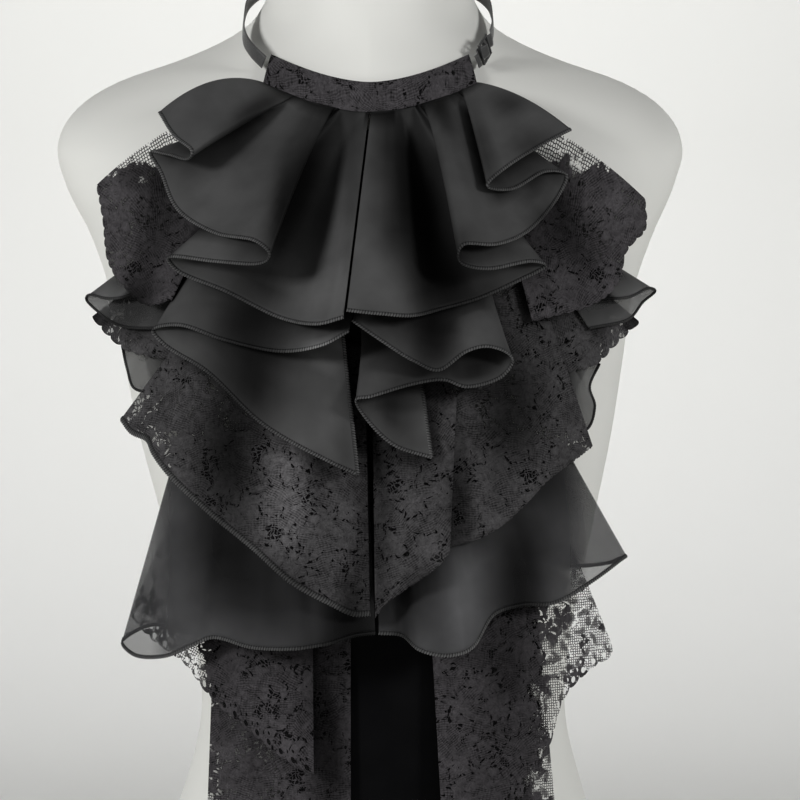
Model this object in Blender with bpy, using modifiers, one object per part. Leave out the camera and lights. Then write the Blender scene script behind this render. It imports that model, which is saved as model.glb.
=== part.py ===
"""Tiered jabot collar of black chiffon and lace, worn by a limbless white dress form.

The form stands on its flat base at height zero and faces along -Y. The collar hangs from
a lace-covered neckband: chiffon flounces lie over side tiers of lace and chiffon, a pointed
lace tier, a sheer flounce, a lace cascade and two straight lower panels, all carried by a
plain backing panel. Every cloth piece is a ruled surface between its seam and its folded
hem, measured outward from one smooth drape surface that stands clear of the form.
"""

import math
from collections import namedtuple

import bmesh
import bpy
from mathutils import Matrix, Vector

# Driving dimensions, in metres
MM = 0.001
CLOTH_WALL = 0.0010
FORM_HEIGHT = 0.606
FORM_TOP_ROUNDING = 0.006
FORM_SIDES = 32
FORM_ROUNDING_STEPS = 3
FORM_SHARP_DEGREES = 40
BAND_THICKNESS = 0.0034
STRAP_WIDTH = 0.0080
STRAP_WALL = 0.0010
SLIDER_WIDTH = 0.0132
SLIDER_LENGTH = 0.0156
SLIDER_THICKNESS = 0.0016
SLIDER_RAIL = 0.0014
SLIDER_EDGE = 0.0003
SLIDER_SHARE = 0.92
STRAP_WEAVE = 0.0018
STRAP_WEAVE_REACH = 2.2

# Neckband and backing panel, in millimetres
BAND_TOP_HALF = 58
BAND_FOOT_HALF = 62.5
BAND_TOP_HEIGHT = 514
BAND_DEPTH = 16
BAND_END_RISE = 17
BAND_STAND_OFF = 4.8
BAND_SEAM_DROP = 0.9
BAND_SEAM_START = 0.006
BAND_SEAM_POINTS = 5
BAND_CELLS = (20, 3)
BACKING_TOP = 486
BACKING_FOOT = 66
BACKING_TOP_HALF = 42
BACKING_FOOT_HALF = 52
BACKING_OUT = -5.0
BACKING_CELLS = (4, 10)

COLLECTION_NAME = "jabot_collar_on_dress_form"

# Cross-sections of the dress form, in millimetres. axis is the depth of the widest line,
# middle is how far the section sways to its left side, and power is the superellipse power
# of the outline: low ones draw the shoulders out to a ridge beside the neck.
Section = namedtuple("Section", "height half_width front back axis middle power")
FORM_SECTIONS = (
    Section(0, 146, 92, 104, 4, 4, 2.2),
    Section(45, 138, 90, 100, 4, 6, 2.2),
    Section(95, 119, 82, 86, 3, 8, 2.2),
    Section(140, 109, 78, 74, 2, 8, 2.2),
    Section(190, 114, 82, 76, 2, 7, 2.2),
    Section(250, 128, 94, 86, 2, 5, 2.2),
    Section(310, 142, 106, 94, 2, 3, 2.1),
    Section(350, 149, 109, 98, 2, 2, 2.1),
    Section(390, 156, 106, 100, 3, 1, 2.1),
    Section(425, 168, 98, 98, 5, 1, 2.1),
    Section(455, 182, 87, 92, 8, 0, 2.1),
    Section(478, 187, 78, 84, 12, 0, 2.0),
    Section(495, 180, 72, 77, 16, 0, 1.8),
    Section(508, 166, 67, 74, 20, 0, 1.6),
    Section(518, 147, 64, 72, 24, 0, 1.45),
    Section(528, 118, 60, 70, 27, 0, 1.4),
    Section(538, 94, 56, 69, 30, 0, 1.45),
    Section(549, 75, 52, 68, 30, 0, 1.65),
    Section(562, 64, 48, 67, 22, 0, 1.9),
    Section(580, 60, 45, 66, 12, 0, 2.0),
    Section(606, 58, 43, 65, 11, 0, 2.0),
)

# Heights of the rings that the form is lofted through, closer together at the shoulders
FORM_RINGS = (
    0, 30, 65, 100, 135, 170, 210, 250, 290, 330, 360, 390, 412, 432, 450, 465,
    478, 488, 497, 505, 512, 519, 526, 533, 540, 548, 557, 568, 582, 600,
)

# The drape surface that the cloth hangs from: its depth in front of the axis at the middle,
# and the half width that sets how fast it curves back to the sides, in millimetres. Below
# the fullest part of the chest the cloth hangs straight down.
Drape = namedtuple("Drape", "height front half_width")
DRAPE_SECTIONS = (
    Drape(0, 119, 160),
    Drape(340, 119, 160),
    Drape(360, 118, 161),
    Drape(400, 113, 164),
    Drape(450, 99, 174),
    Drape(480, 84, 183),
    Drape(505, 76, 184),
    Drape(530, 68, 184),
    Drape(560, 62, 184),
)

# A seam point: across, height and distance in front of the drape surface, in millimetres.
Stitch = namedtuple("Stitch", "x z out")

# A point of a hem: its share of the gathered seam, its place across and up, its distance in
# front of the drape surface, how far the cloth between seam and hem bows upward, and how much
# later than the rest it opens, which keeps a valley deep down to its hem.
Fold = namedtuple("Fold", "share x z out bow lag", defaults=(0.0,))

# Middle line of the strap, from the band's left end round the back of the neck to its right
# end, in millimetres
STRAP_ROUTE = (
    (-62, -46, 526),
    (-69, -37, 533),
    (-74, -22, 541),
    (-75, -3, 551),
    (-72, 17, 564),
    (-59, 44, 574),
    (-31, 66, 580),
    (-1, 73, 582),
    (29, 66, 580),
    (56, 45, 574),
    (70, 18, 564),
    (73, -3, 551),
    (71, -21, 541),
    (67, -35, 533),
    (62, -46, 526),
)
STRAP_AXIS = 8
STRAP_LOOK_AHEAD = 0.004

# Spacing of the strap's cells: at a share of the cells, the share of the way round. They are
# close together where the strap weaves through the slider.
STRAP_CELLS = 60
STRAP_SPACING = ((0.0, 0.0), (0.70, 0.86), (0.96, 0.98), (1.0, 1.0))

# One cloth piece: seam points spaced evenly along the gathering, hem folds from one end to
# the other, how early the folds open below the seam, and the mesh divisions.
Flounce = namedtuple("Flounce", "name cloth seam hem opening across down")

# Finishes: 8-bit sRGB colour and roughness
FINISHES = {
    "white_form": ((226, 226, 221), 0.6),
    "band_lace": ((44, 43, 43), 0.75),
    "strap_ribbon": ((42, 42, 42), 0.55),
    "slider_plastic": ((40, 40, 40), 0.35),
    "backing_cloth": ((18, 18, 19), 0.8),
    "satin_chiffon": ((48, 48, 48), 0.55),
    "sheer_chiffon": ((56, 56, 57), 0.6),
    "black_lace": ((40, 38, 40), 0.8),
}


def smooth_curve(points, knots, value):
    """Point at a knot value on a smooth curve through the points, with parabola tangents."""
    last = len(points) - 1
    step = 0
    while step < last - 1 and value > knots[step + 1]:
        step += 1

    def slope(index):
        if index == 0:
            return [(b - a) / (knots[1] - knots[0]) for a, b in zip(points[0], points[1])]
        if index == last:
            span = knots[last] - knots[last - 1]
            return [(b - a) / span for a, b in zip(points[last - 1], points[last])]
        before = knots[index] - knots[index - 1]
        after = knots[index + 1] - knots[index]
        return [
            ((b - a) / before * after + (c - b) / after * before) / (before + after)
            for a, b, c in zip(points[index - 1], points[index], points[index + 1])
        ]

    span = knots[step + 1] - knots[step]
    t = (value - knots[step]) / span
    start_slope = slope(step)
    end_slope = slope(step + 1)
    return [
        (1 + 2 * t) * (1 - t) ** 2 * p + t * (1 - t) ** 2 * span * m
        + t * t * (3 - 2 * t) * q - t * t * (1 - t) * span * n
        for p, q, m, n in zip(points[step], points[step + 1], start_slope, end_slope)
    ]


def row_at(rows, height):
    """Values of a table of sections at a height, between its rows."""
    knots = [row[0] for row in rows]
    return smooth_curve([row[1:] for row in rows], knots, min(max(height, knots[0]), knots[-1]))


def drape_point(x, z, out):
    """Point at x and z millimetres, standing out millimetres in front of the drape surface."""
    front, half_width = row_at(DRAPE_SECTIONS, z)
    fall = front * x * x / (2 * half_width * half_width)
    return Vector((x, fall - front - out, z)) * MM


def hem_knots(hem):
    """Knots along a hem, shared between its length, its rows and its share of the seam."""
    lengths = [0.0]
    for a, b in zip(hem, hem[1:]):
        lengths.append(lengths[-1] + math.dist((a.x, a.z, a.out), (b.x, b.z, b.out)))
    rows = len(hem) - 1
    return [
        (length / lengths[-1] + index / rows + fold.share) / 3
        for index, (length, fold) in enumerate(zip(lengths, hem))
    ]


def flounce_point(flounce, knots, u, v):
    """Point of a cloth piece at u along its hem and v from its seam down to its hem."""
    share, x, z, out, bow, lag = smooth_curve(flounce.hem, knots, u)
    spacing = [index / (len(flounce.seam) - 1) for index in range(len(flounce.seam))]
    seam = Stitch(*smooth_curve(flounce.seam, spacing, min(max(share, 0.0), 1.0)))
    rise = 4 * bow * v * (1 - v)
    swell = v ** (flounce.opening + lag)
    return drape_point(
        seam.x + (x - seam.x) * v,
        seam.z + (z - seam.z) * v + rise,
        seam.out + (out - seam.out) * swell,
    )


def material(name, colour, roughness):
    """Plain Principled material with an 8-bit sRGB colour."""
    made = bpy.data.materials.new(name)
    made.use_nodes = True
    shader = made.node_tree.nodes["Principled BSDF"]
    linear = [(channel / 255) ** 2.2 for channel in colour]
    shader.inputs["Base Color"].default_value = (*linear, 1.0)
    shader.inputs["Roughness"].default_value = roughness
    return made


def link_mesh(name, mesh, collection, finish):
    """New object in the collection, made from a filled bmesh, with one material."""
    bmesh.ops.recalc_face_normals(mesh, faces=mesh.faces)
    data = bpy.data.meshes.new(name)
    mesh.to_mesh(data)
    mesh.free()
    data.materials.append(finish)
    data.shade_smooth()
    made = bpy.data.objects.new(name, data)
    collection.objects.link(made)
    return made


def solidify(sheet, wall):
    """Gives an open sheet its wall, half to each side."""
    shell = sheet.modifiers.new("Wall", "SOLIDIFY")
    shell.thickness = wall
    shell.offset = 0.0
    return sheet


def make_sheet(name, across, down, place, wall, collection, finish):
    """Grid of across by down cells, put in place by a function of u and v, with a wall."""
    mesh = bmesh.new()
    bmesh.ops.create_grid(mesh, x_segments=across, y_segments=down, size=0.5)
    for vertex in mesh.verts:
        vertex.co = place(vertex.co.x + 0.5, 0.5 - vertex.co.y)
    return solidify(link_mesh(name, mesh, collection, finish), wall)


def make_flounce(flounce, collection, finish):
    """One cloth piece of the collar."""
    knots = hem_knots(flounce.hem)
    return make_sheet(
        flounce.name,
        flounce.across,
        flounce.down,
        lambda u, v: flounce_point(flounce, knots, u, v),
        CLOTH_WALL,
        collection,
        finish,
    )


def form_ring(height, inset=0.0):
    """Points round the dress form at a height in millimetres, drawn in by the inset."""
    half_width, front, back, axis, middle, power = row_at(FORM_SECTIONS, height)
    ring = []
    for side in range(FORM_SIDES):
        angle = 2 * math.pi * side / FORM_SIDES
        across = math.cos(angle)
        along = math.sin(angle)
        depth = front + axis if along < 0 else back - axis
        x = math.copysign(abs(across) ** (2 / power), across) * (half_width - inset) + middle
        y = math.copysign(abs(along) ** (2 / power), along) * (depth - inset) + axis
        ring.append(Vector((x, y, height)) * MM)
    return ring


def make_form(collection, finish):
    """The dress form: a loft through its sections, with a flat base and a rounded neck top."""
    rounding = FORM_TOP_ROUNDING / MM
    rings = [form_ring(height) for height in FORM_RINGS]
    for step in range(FORM_ROUNDING_STEPS):
        turn = math.pi / 2 * (step + 1) / FORM_ROUNDING_STEPS
        ring = form_ring(FORM_HEIGHT / MM - rounding, rounding * (1 - math.cos(turn)))
        rise = Vector((0, 0, FORM_TOP_ROUNDING * math.sin(turn)))
        rings.append([point + rise for point in ring])
    mesh = bmesh.new()
    loops = [[mesh.verts.new(point) for point in ring] for ring in rings]
    for lower, upper in zip(loops, loops[1:]):
        for side in range(FORM_SIDES):
            after = (side + 1) % FORM_SIDES
            mesh.faces.new((lower[side], lower[after], upper[after], upper[side]))
    mesh.faces.new(reversed(loops[0]))
    mesh.faces.new(loops[-1])
    made = link_mesh("dress_form", mesh, collection, finish)
    made.data.set_sharp_from_angle(angle=math.radians(FORM_SHARP_DEGREES))
    return made


def form_front(x, height):
    """Depth of the form's front surface at x and a height, all in millimetres."""
    half_width, front, _, axis, middle, power = row_at(FORM_SECTIONS, height)
    share = min(abs(x - middle) / half_width, 1.0)
    return axis - (front + axis) * (1 - share ** power) ** (1 / power)


def band_point(u, v):
    """Point of the neckband's middle surface, u from its left end and v from its top."""
    across = 2 * u - 1
    x = across * (BAND_TOP_HALF + (BAND_FOOT_HALF - BAND_TOP_HALF) * v)
    top = BAND_TOP_HEIGHT + BAND_END_RISE * abs(across) ** 1.7
    height = top - BAND_DEPTH * v
    return Vector((x, form_front(x, height) - BAND_STAND_OFF, height)) * MM


def band_seam(side):
    """Seam points of an upper flounce, just under the neckband on one side of its middle."""
    seam = []
    for step in range(BAND_SEAM_POINTS):
        along = step / (BAND_SEAM_POINTS - 1)
        share = BAND_SEAM_START + (0.5 - BAND_SEAM_START) * along
        point = band_point(0.5 + side * share, 1.0) / MM
        front, half_width = row_at(DRAPE_SECTIONS, point.z)
        fall = front * point.x ** 2 / (2 * half_width ** 2)
        seam.append(Stitch(point.x, point.z - BAND_SEAM_DROP, fall - front - point.y))
    return tuple(seam if side > 0 else reversed(seam))


FLOUNCES = (
    Flounce(
        name="upper_flounce_left",
        cloth="satin_chiffon",
        seam=band_seam(-1),
        hem=(
            Fold(0.00, -122, 496, 20, 9),
            Fold(0.13, -112, 482, 32, 5),
            Fold(0.21, -102, 474, 39, 2),
            Fold(0.29, -105, 469, 33, 0),
            Fold(0.33, -117, 472, 24, 0),
            Fold(0.37, -127, 473, 19, 0),
            Fold(0.41, -121, 462, 17, 0),
            Fold(0.45, -111, 441, 22, 0),
            Fold(0.50, -88, 427, 33, 0),
            Fold(0.54, -65, 423, 46, 0),
            Fold(0.57, -57, 417, 49, 0),
            Fold(0.66, -63, 410, 43, 0),
            Fold(0.70, -88, 411, 36, 0),
            Fold(0.73, -115, 413, 30, 0),
            Fold(0.76, -110, 405, 22, 0, 0.3),
            Fold(0.80, -83, 394, 20, 0, 0.9),
            Fold(0.86, -51, 379, 21, 0, 1.4),
            Fold(0.92, -31, 376, 35, 0, 0.7),
            Fold(1.00, -15, 380, 40, 0),
        ),
        opening=0.6,
        across=32,
        down=6,
    ),
    Flounce(
        name="upper_flounce_right",
        cloth="satin_chiffon",
        seam=band_seam(1),
        hem=(
            Fold(0.00, -13, 384, 40, 0),
            Fold(0.15, 7, 382, 43, 0),
            Fold(0.25, 25, 381, 38, 0, 0.3),
            Fold(0.30, 40, 384, 25, 0, 1.2),
            Fold(0.34, 62, 390, 23, 0, 1.4),
            Fold(0.38, 85, 400, 25, 0, 0.8),
            Fold(0.41, 100, 408, 28, 0),
            Fold(0.45, 91, 411, 34, 0),
            Fold(0.47, 68, 407, 38, 0),
            Fold(0.51, 52, 410, 43, 0),
            Fold(0.60, 53, 421, 49, 0),
            Fold(0.65, 72, 421, 44, 0),
            Fold(0.70, 91, 429, 31, 0),
            Fold(0.74, 109, 449, 17, 0),
            Fold(0.77, 113, 460, 17, 0),
            Fold(0.80, 101, 462, 21, 0),
            Fold(0.83, 81, 452, 30, 0),
            Fold(0.86, 67, 453, 37, 0),
            Fold(0.94, 77, 464, 37, 1),
            Fold(0.97, 100, 478, 29, 3),
            Fold(1.00, 116, 486, 22, 4.5),
        ),
        opening=0.6,
        across=32,
        down=6,
    ),
    Flounce(
        name="lower_flounce_left",
        cloth="satin_chiffon",
        seam=(
            Stitch(-17, 382, 2),
            Stitch(-57, 393, 2),
            Stitch(-100, 410, 2.5),
            Stitch(-48, 415, 4),
            Stitch(-3, 411, 5),
        ),
        hem=(
            Fold(0.00, -7, 291, 24, 0),
            Fold(0.12, -23, 298, 24, 0),
            Fold(0.24, -60, 318, 20, 0),
            Fold(0.36, -94, 348, 13, 0),
            Fold(0.44, -118, 362, 10, 0),
            Fold(0.50, -125, 371, 13, 0),
            Fold(0.56, -110, 374, 17, 0),
            Fold(0.66, -83, 366, 19, 0),
            Fold(0.78, -51, 360, 21, 0),
            Fold(0.90, -27, 364, 29, 0),
            Fold(1.00, -12, 372, 32, 0),
        ),
        opening=1.0,
        across=26,
        down=6,
    ),
    Flounce(
        name="lower_flounce_right",
        cloth="satin_chiffon",
        seam=(
            Stitch(3, 413, 5),
            Stitch(20, 414, 5),
            Stitch(35, 414, 4.5),
            Stitch(53, 412, 4),
            Stitch(66, 405, 3.5),
            Stitch(62, 394, 3),
            Stitch(31, 385, 2.5),
            Stitch(-5, 374, 2),
            Stitch(26, 366, 1),
        ),
        hem=(
            Fold(0.00, -10, 378, 35, 0),
            Fold(0.12, 6, 367, 36, 0),
            Fold(0.24, 25, 355, 33, 0),
            Fold(0.33, 39, 350, 31, 0),
            Fold(0.40, 54, 360, 31, 0),
            Fold(0.48, 67, 363, 33, 0),
            Fold(0.54, 78, 359, 31, 0),
            Fold(0.59, 81, 354, 29, 0),
            Fold(0.64, 74, 345, 25, 0),
            Fold(0.69, 55, 340, 26, 0),
            Fold(0.74, 42, 344, 24, 0),
            Fold(0.80, 25, 342, 25, 0),
            Fold(0.87, 0, 335, 29, 0),
            Fold(0.90, -8, 333, 26, 0),
            Fold(0.93, -2, 322, 22, 0),
            Fold(0.97, 14, 307, 22, 0),
            Fold(1.00, 35, 300, 22, 0),
        ),
        opening=1.2,
        across=28,
        down=6,
    ),
    Flounce(
        name="side_lace_upper_left",
        cloth="black_lace",
        seam=(
            Stitch(-68, 504, -4),
            Stitch(-75, 492, -4),
            Stitch(-78, 477, -3.5),
            Stitch(-76, 466, -3),
        ),
        hem=(
            Fold(0.00, -159, 454, 12, 9),
            Fold(0.25, -155, 434, 15, 3),
            Fold(0.50, -152, 410, 12, 0),
            Fold(0.72, -143, 396, 12, 0),
            Fold(0.88, -129, 385, 15, 0),
            Fold(1.00, -114, 388, 11, 0),
        ),
        opening=0.7,
        across=14,
        down=5,
    ),
    Flounce(
        name="side_lace_upper_right",
        cloth="black_lace",
        seam=(
            Stitch(65, 501, -4),
            Stitch(72, 488, -4),
            Stitch(75, 472, -3.5),
            Stitch(74, 448, -3),
        ),
        hem=(
            Fold(0.00, 160, 446, 12, 9),
            Fold(0.20, 160, 429, 15, 3),
            Fold(0.42, 149, 416, 12, 0),
            Fold(0.62, 144, 398, 10, 0),
            Fold(0.82, 130, 386, 13, 0),
            Fold(1.00, 93, 376, 10, 0),
        ),
        opening=0.7,
        across=14,
        down=5,
    ),
    Flounce(
        name="side_chiffon_upper_left",
        cloth="satin_chiffon",
        seam=(
            Stitch(-95, 451, 0.5),
            Stitch(-95, 440, -1),
            Stitch(-95, 428, -2),
        ),
        hem=(
            Fold(0.00, -124, 394, 9, 0),
            Fold(0.30, -152, 388, 8, 0),
            Fold(0.44, -164, 390, 6, 0),
            Fold(0.52, -166, 387, 3, 0),
            Fold(0.60, -159, 380, 0.5, 0),
            Fold(0.80, -145, 372, 0, 0),
            Fold(1.00, -121, 371, 0, 0),
        ),
        opening=1.0,
        across=12,
        down=4,
    ),
    Flounce(
        name="side_chiffon_upper_right",
        cloth="satin_chiffon",
        seam=(
            Stitch(89, 451, 0.5),
            Stitch(89, 440, -1),
            Stitch(89, 428, -2),
        ),
        hem=(
            Fold(0.00, 124, 389, 9, 0),
            Fold(0.28, 151, 389, 8, 0),
            Fold(0.44, 163, 394, 6, 0),
            Fold(0.52, 167, 392, 3, 0),
            Fold(0.60, 160, 386, 0.5, 0),
            Fold(0.80, 151, 376, 0, 0),
            Fold(1.00, 127, 371, 0, 0),
        ),
        opening=1.0,
        across=12,
        down=4,
    ),
    Flounce(
        name="side_lace_lower_left",
        cloth="black_lace",
        seam=(
            Stitch(-99, 416, -4),
            Stitch(-99, 409, -4),
            Stitch(-99, 400, -4),
        ),
        hem=(
            Fold(0.00, -163, 377, -4, 3),
            Fold(0.30, -154, 367, -4, 0),
            Fold(0.55, -142, 358, -3.5, 0),
            Fold(0.80, -122, 354, -3.5, 0),
            Fold(1.00, -104, 358, -4, 0),
        ),
        opening=1.0,
        across=12,
        down=3,
    ),
    Flounce(
        name="side_lace_lower_right",
        cloth="black_lace",
        seam=(
            Stitch(96, 416, -4),
            Stitch(97, 409, -4),
            Stitch(97, 400, -4),
        ),
        hem=(
            Fold(0.00, 158, 374, -4, 3),
            Fold(0.28, 141, 359, -4, 0),
            Fold(0.50, 133, 351, -3.5, 0),
            Fold(0.78, 116, 346, -3.5, 0),
            Fold(1.00, 102, 349, -4, 0),
        ),
        opening=1.0,
        across=12,
        down=3,
    ),
    Flounce(
        name="side_chiffon_lower_left",
        cloth="satin_chiffon",
        seam=(
            Stitch(-95, 394, -5),
            Stitch(-95, 385, -5),
            Stitch(-91, 377, -5),
        ),
        hem=(
            Fold(0.00, -145, 360, -9, 0),
            Fold(0.30, -142, 347, -8, 0),
            Fold(0.52, -138, 336, -7, 0),
            Fold(0.64, -132, 334, -6.5, 0),
            Fold(0.82, -119, 335, -6, 0),
            Fold(1.00, -101, 339, -5.5, 0),
        ),
        opening=1.0,
        across=10,
        down=3,
    ),
    Flounce(
        name="side_chiffon_lower_right",
        cloth="satin_chiffon",
        seam=(
            Stitch(91, 394, -5),
            Stitch(90, 385, -5),
            Stitch(86, 377, -5),
        ),
        hem=(
            Fold(0.00, 134, 350, -9, 0),
            Fold(0.20, 128, 337, -8, 0),
            Fold(0.42, 131, 325, -7, 0),
            Fold(0.62, 126, 312, -6.5, 0),
            Fold(0.80, 110, 312, -6, 0),
            Fold(1.00, 92, 319, -5.5, 0),
        ),
        opening=1.0,
        across=10,
        down=3,
    ),
    Flounce(
        name="lace_point_left",
        cloth="black_lace",
        seam=(
            Stitch(-3, 363, -2),
            Stitch(-40, 372, -1.5),
            Stitch(-72, 389, -1),
            Stitch(-93, 388, -1),
        ),
        hem=(
            Fold(0.00, 0, 212, 26, 0),
            Fold(0.08, -9, 212, 29, 0),
            Fold(0.18, -20, 217, 32, 0),
            Fold(0.33, -45, 231, 34, 0),
            Fold(0.46, -68, 250, 28, 0),
            Fold(0.59, -92, 268, 24, 0),
            Fold(0.72, -116, 289, 21, 0),
            Fold(0.80, -125, 300, 17, 0),
            Fold(0.87, -129, 307, 10, 0),
            Fold(0.95, -139, 311, 5, 0),
            Fold(1.00, -145, 318, 1, 0),
        ),
        opening=1.0,
        across=24,
        down=4,
    ),
    Flounce(
        name="lace_point_right",
        cloth="black_lace",
        seam=(
            Stitch(94, 405, -0.5),
            Stitch(79, 404, 0),
            Stitch(63, 394, -0.5),
            Stitch(40, 374, -1.5),
            Stitch(1, 363, -2.5),
        ),
        hem=(
            Fold(0.00, 129, 303, 3, 0),
            Fold(0.07, 120, 297, 9, 0),
            Fold(0.16, 102, 285, 18, 0),
            Fold(0.25, 81, 265, 22, 0),
            Fold(0.35, 65, 255, 24, 0),
            Fold(0.45, 43, 249, 23, 0),
            Fold(0.50, 33, 247, 26, 0),
            Fold(0.59, 38, 245, 31, 0),
            Fold(0.64, 45, 248, 35, 0),
            Fold(0.69, 41, 242, 36, 0),
            Fold(0.80, 24, 229, 34, 0),
            Fold(0.91, 10, 219, 30, 0),
            Fold(1.00, 3, 210, 26, 0),
        ),
        opening=1.2,
        across=28,
        down=4,
    ),
    Flounce(
        name="sheer_flounce_left",
        cloth="sheer_chiffon",
        seam=(
            Stitch(-93, 281, 0.5),
            Stitch(-111, 304, 0.5),
            Stitch(-69, 316, 1),
            Stitch(-33, 318, 1),
            Stitch(-2, 314, 0.5),
        ),
        hem=(
            Fold(0.00, -95, 195, 8, 0),
            Fold(0.07, -109, 197, 10, 0),
            Fold(0.13, -124, 200, 9, 0),
            Fold(0.18, -137, 195, 10, 0),
            Fold(0.22, -144, 189, 14, 0),
            Fold(0.27, -136, 183, 22, 0),
            Fold(0.34, -118, 184, 27, 0),
            Fold(0.41, -102, 191, 26, 0),
            Fold(0.48, -90, 196, 22, 0),
            Fold(0.58, -68, 192, 27, 0),
            Fold(0.70, -45, 192, 31, 0),
            Fold(0.82, -24, 195, 28, 0),
            Fold(0.91, -9, 199, 22, 0),
            Fold(1.00, 3, 200, 17, 0),
        ),
        opening=1.0,
        across=28,
        down=4,
    ),
    Flounce(
        name="sheer_flounce_right",
        cloth="sheer_chiffon",
        seam=(
            Stitch(1, 313, 0.5),
            Stitch(29, 315, 1),
            Stitch(68, 316, 1),
            Stitch(114, 301, 0.5),
            Stitch(89, 278, 0.5),
        ),
        hem=(
            Fold(0.00, 5, 200, 17, 0),
            Fold(0.08, 18, 199, 20, 0),
            Fold(0.15, 28, 192, 32, 0),
            Fold(0.24, 45, 189, 38, 0),
            Fold(0.32, 58, 193, 34, 0),
            Fold(0.40, 71, 210, 20, 0),
            Fold(0.46, 86, 214, 17, 0),
            Fold(0.54, 106, 215, 21, 0),
            Fold(0.62, 129, 227, 23, 0),
            Fold(0.68, 145, 237, 19, 0),
            Fold(0.73, 149, 239, 14, 0),
            Fold(0.82, 139, 235, 8, 0),
            Fold(0.91, 118, 234, 5, 0),
            Fold(1.00, 98, 238, 4, 0),
        ),
        opening=1.0,
        across=28,
        down=4,
    ),
    Flounce(
        name="lace_cascade_left",
        cloth="black_lace",
        seam=(
            Stitch(-98, 299, -2),
            Stitch(-89, 273, -1.5),
            Stitch(-75, 256, -1),
            Stitch(-57, 240, -0.5),
            Stitch(-33, 232, 0),
        ),
        hem=(
            Fold(0.00, -140, 204, 0, 2),
            Fold(0.18, -127, 191, 2, 0),
            Fold(0.34, -107, 178, 4, 0),
            Fold(0.50, -93, 161, 6, 0),
            Fold(0.68, -68, 141, 12, 0),
            Fold(0.85, -44, 124, 16, 0),
            Fold(1.00, -32, 118, 17, 0),
        ),
        opening=1.0,
        across=18,
        down=4,
    ),
    Flounce(
        name="lace_cascade_right",
        cloth="black_lace",
        seam=(
            Stitch(34, 217, 0),
            Stitch(57, 231, -0.5),
            Stitch(78, 248, -1),
            Stitch(86, 273, -1.5),
            Stitch(95, 299, -2),
        ),
        hem=(
            Fold(0.00, 43, 58, 9, 0),
            Fold(0.20, 66, 81, 16, 0),
            Fold(0.38, 87, 102, 15, 0),
            Fold(0.56, 103, 130, 9, 0),
            Fold(0.72, 113, 159, 6, 0),
            Fold(0.84, 129, 174, 4, 0),
            Fold(0.93, 141, 182, 2, 0),
            Fold(1.00, 136, 199, 0, 0),
        ),
        opening=1.0,
        across=20,
        down=4,
    ),
    Flounce(
        name="lower_panel_left",
        cloth="black_lace",
        seam=(
            Stitch(-89, 224, -2),
            Stitch(-52, 222, -2),
            Stitch(-11, 220, -2),
        ),
        hem=(
            Fold(0.00, -95, 66, 0, 0),
            Fold(0.22, -76, 62, 4, 0),
            Fold(0.45, -55, 60, 1, 0),
            Fold(0.70, -33, 61, 4, 0),
            Fold(1.00, -11, 63, 0.5, 0),
        ),
        opening=1.0,
        across=10,
        down=3,
    ),
    Flounce(
        name="lower_panel_right",
        cloth="black_lace",
        seam=(
            Stitch(40, 220, -2),
            Stitch(69, 222, -2),
            Stitch(95, 224, -2),
        ),
        hem=(
            Fold(0.00, 41, 63, 0.5, 0),
            Fold(0.28, 60, 60, 4, 0),
            Fold(0.52, 78, 59, 1, 0),
            Fold(0.78, 95, 60, 4, 0),
            Fold(1.00, 110, 64, 0, 0),
        ),
        opening=1.0,
        across=10,
        down=3,
    ),
)


def backing_point(u, v):
    """Point of the plain panel that carries the lower tiers."""
    half_width = BACKING_TOP_HALF + (BACKING_FOOT_HALF - BACKING_TOP_HALF) * v
    height = BACKING_TOP + (BACKING_FOOT - BACKING_TOP) * v
    return drape_point((2 * u - 1) * half_width, height, BACKING_OUT)


def loop_frame(share):
    """Middle of the strap and its outward direction, at a share of its way round the neck."""
    spacing = [index / (len(STRAP_ROUTE) - 1) for index in range(len(STRAP_ROUTE))]
    point = Vector(smooth_curve(STRAP_ROUTE, spacing, share)) * MM
    ahead = Vector(smooth_curve(STRAP_ROUTE, spacing, min(share + STRAP_LOOK_AHEAD, 1.0)))
    behind = Vector(smooth_curve(STRAP_ROUTE, spacing, max(share - STRAP_LOOK_AHEAD, 0.0)))
    along = (ahead - behind).normalized()
    outward = Vector((point.x, point.y - STRAP_AXIS * MM, 0.0))
    outward = (outward - outward.project(along)).normalized()
    return point, along, outward


def strap_point(u, v):
    """Point of the strap's middle surface, u along its cells and v across its width.

    At the slider the strap passes behind both end bars and over the middle bar.
    """
    share = next(
        low[1] + (high[1] - low[1]) * (u - low[0]) / (high[0] - low[0])
        for low, high in zip(STRAP_SPACING, STRAP_SPACING[1:])
        if u <= high[0] or high is STRAP_SPACING[-1]
    )
    point, along, outward = loop_frame(share)
    middle, slide, _ = loop_frame(SLIDER_SHARE)
    bars_away = (point - middle).dot(slide) / ((SLIDER_LENGTH - SLIDER_RAIL) / 2)
    near = math.exp(-((bars_away / STRAP_WEAVE_REACH) ** 6))
    weave = STRAP_WEAVE * math.cos(math.pi * bars_away) * near
    return point + outward * weave + along.cross(outward) * (STRAP_WIDTH * (v - 0.5))


def make_strap(collection, finish):
    """Plain ribbon strap that runs from the band's ends round the back of the neck."""
    return make_sheet(
        "neck_strap", STRAP_CELLS, 1, strap_point, STRAP_WALL, collection, finish
    )


def box(name, size, places, collection, finish):
    """Object of equal boxes at the given places."""
    mesh = bmesh.new()
    for place in places:
        made = bmesh.ops.create_cube(mesh, size=1.0)
        bmesh.ops.scale(mesh, vec=size, verts=made["verts"])
        bmesh.ops.translate(mesh, vec=place, verts=made["verts"])
    return link_mesh(name, mesh, collection, finish)


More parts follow.
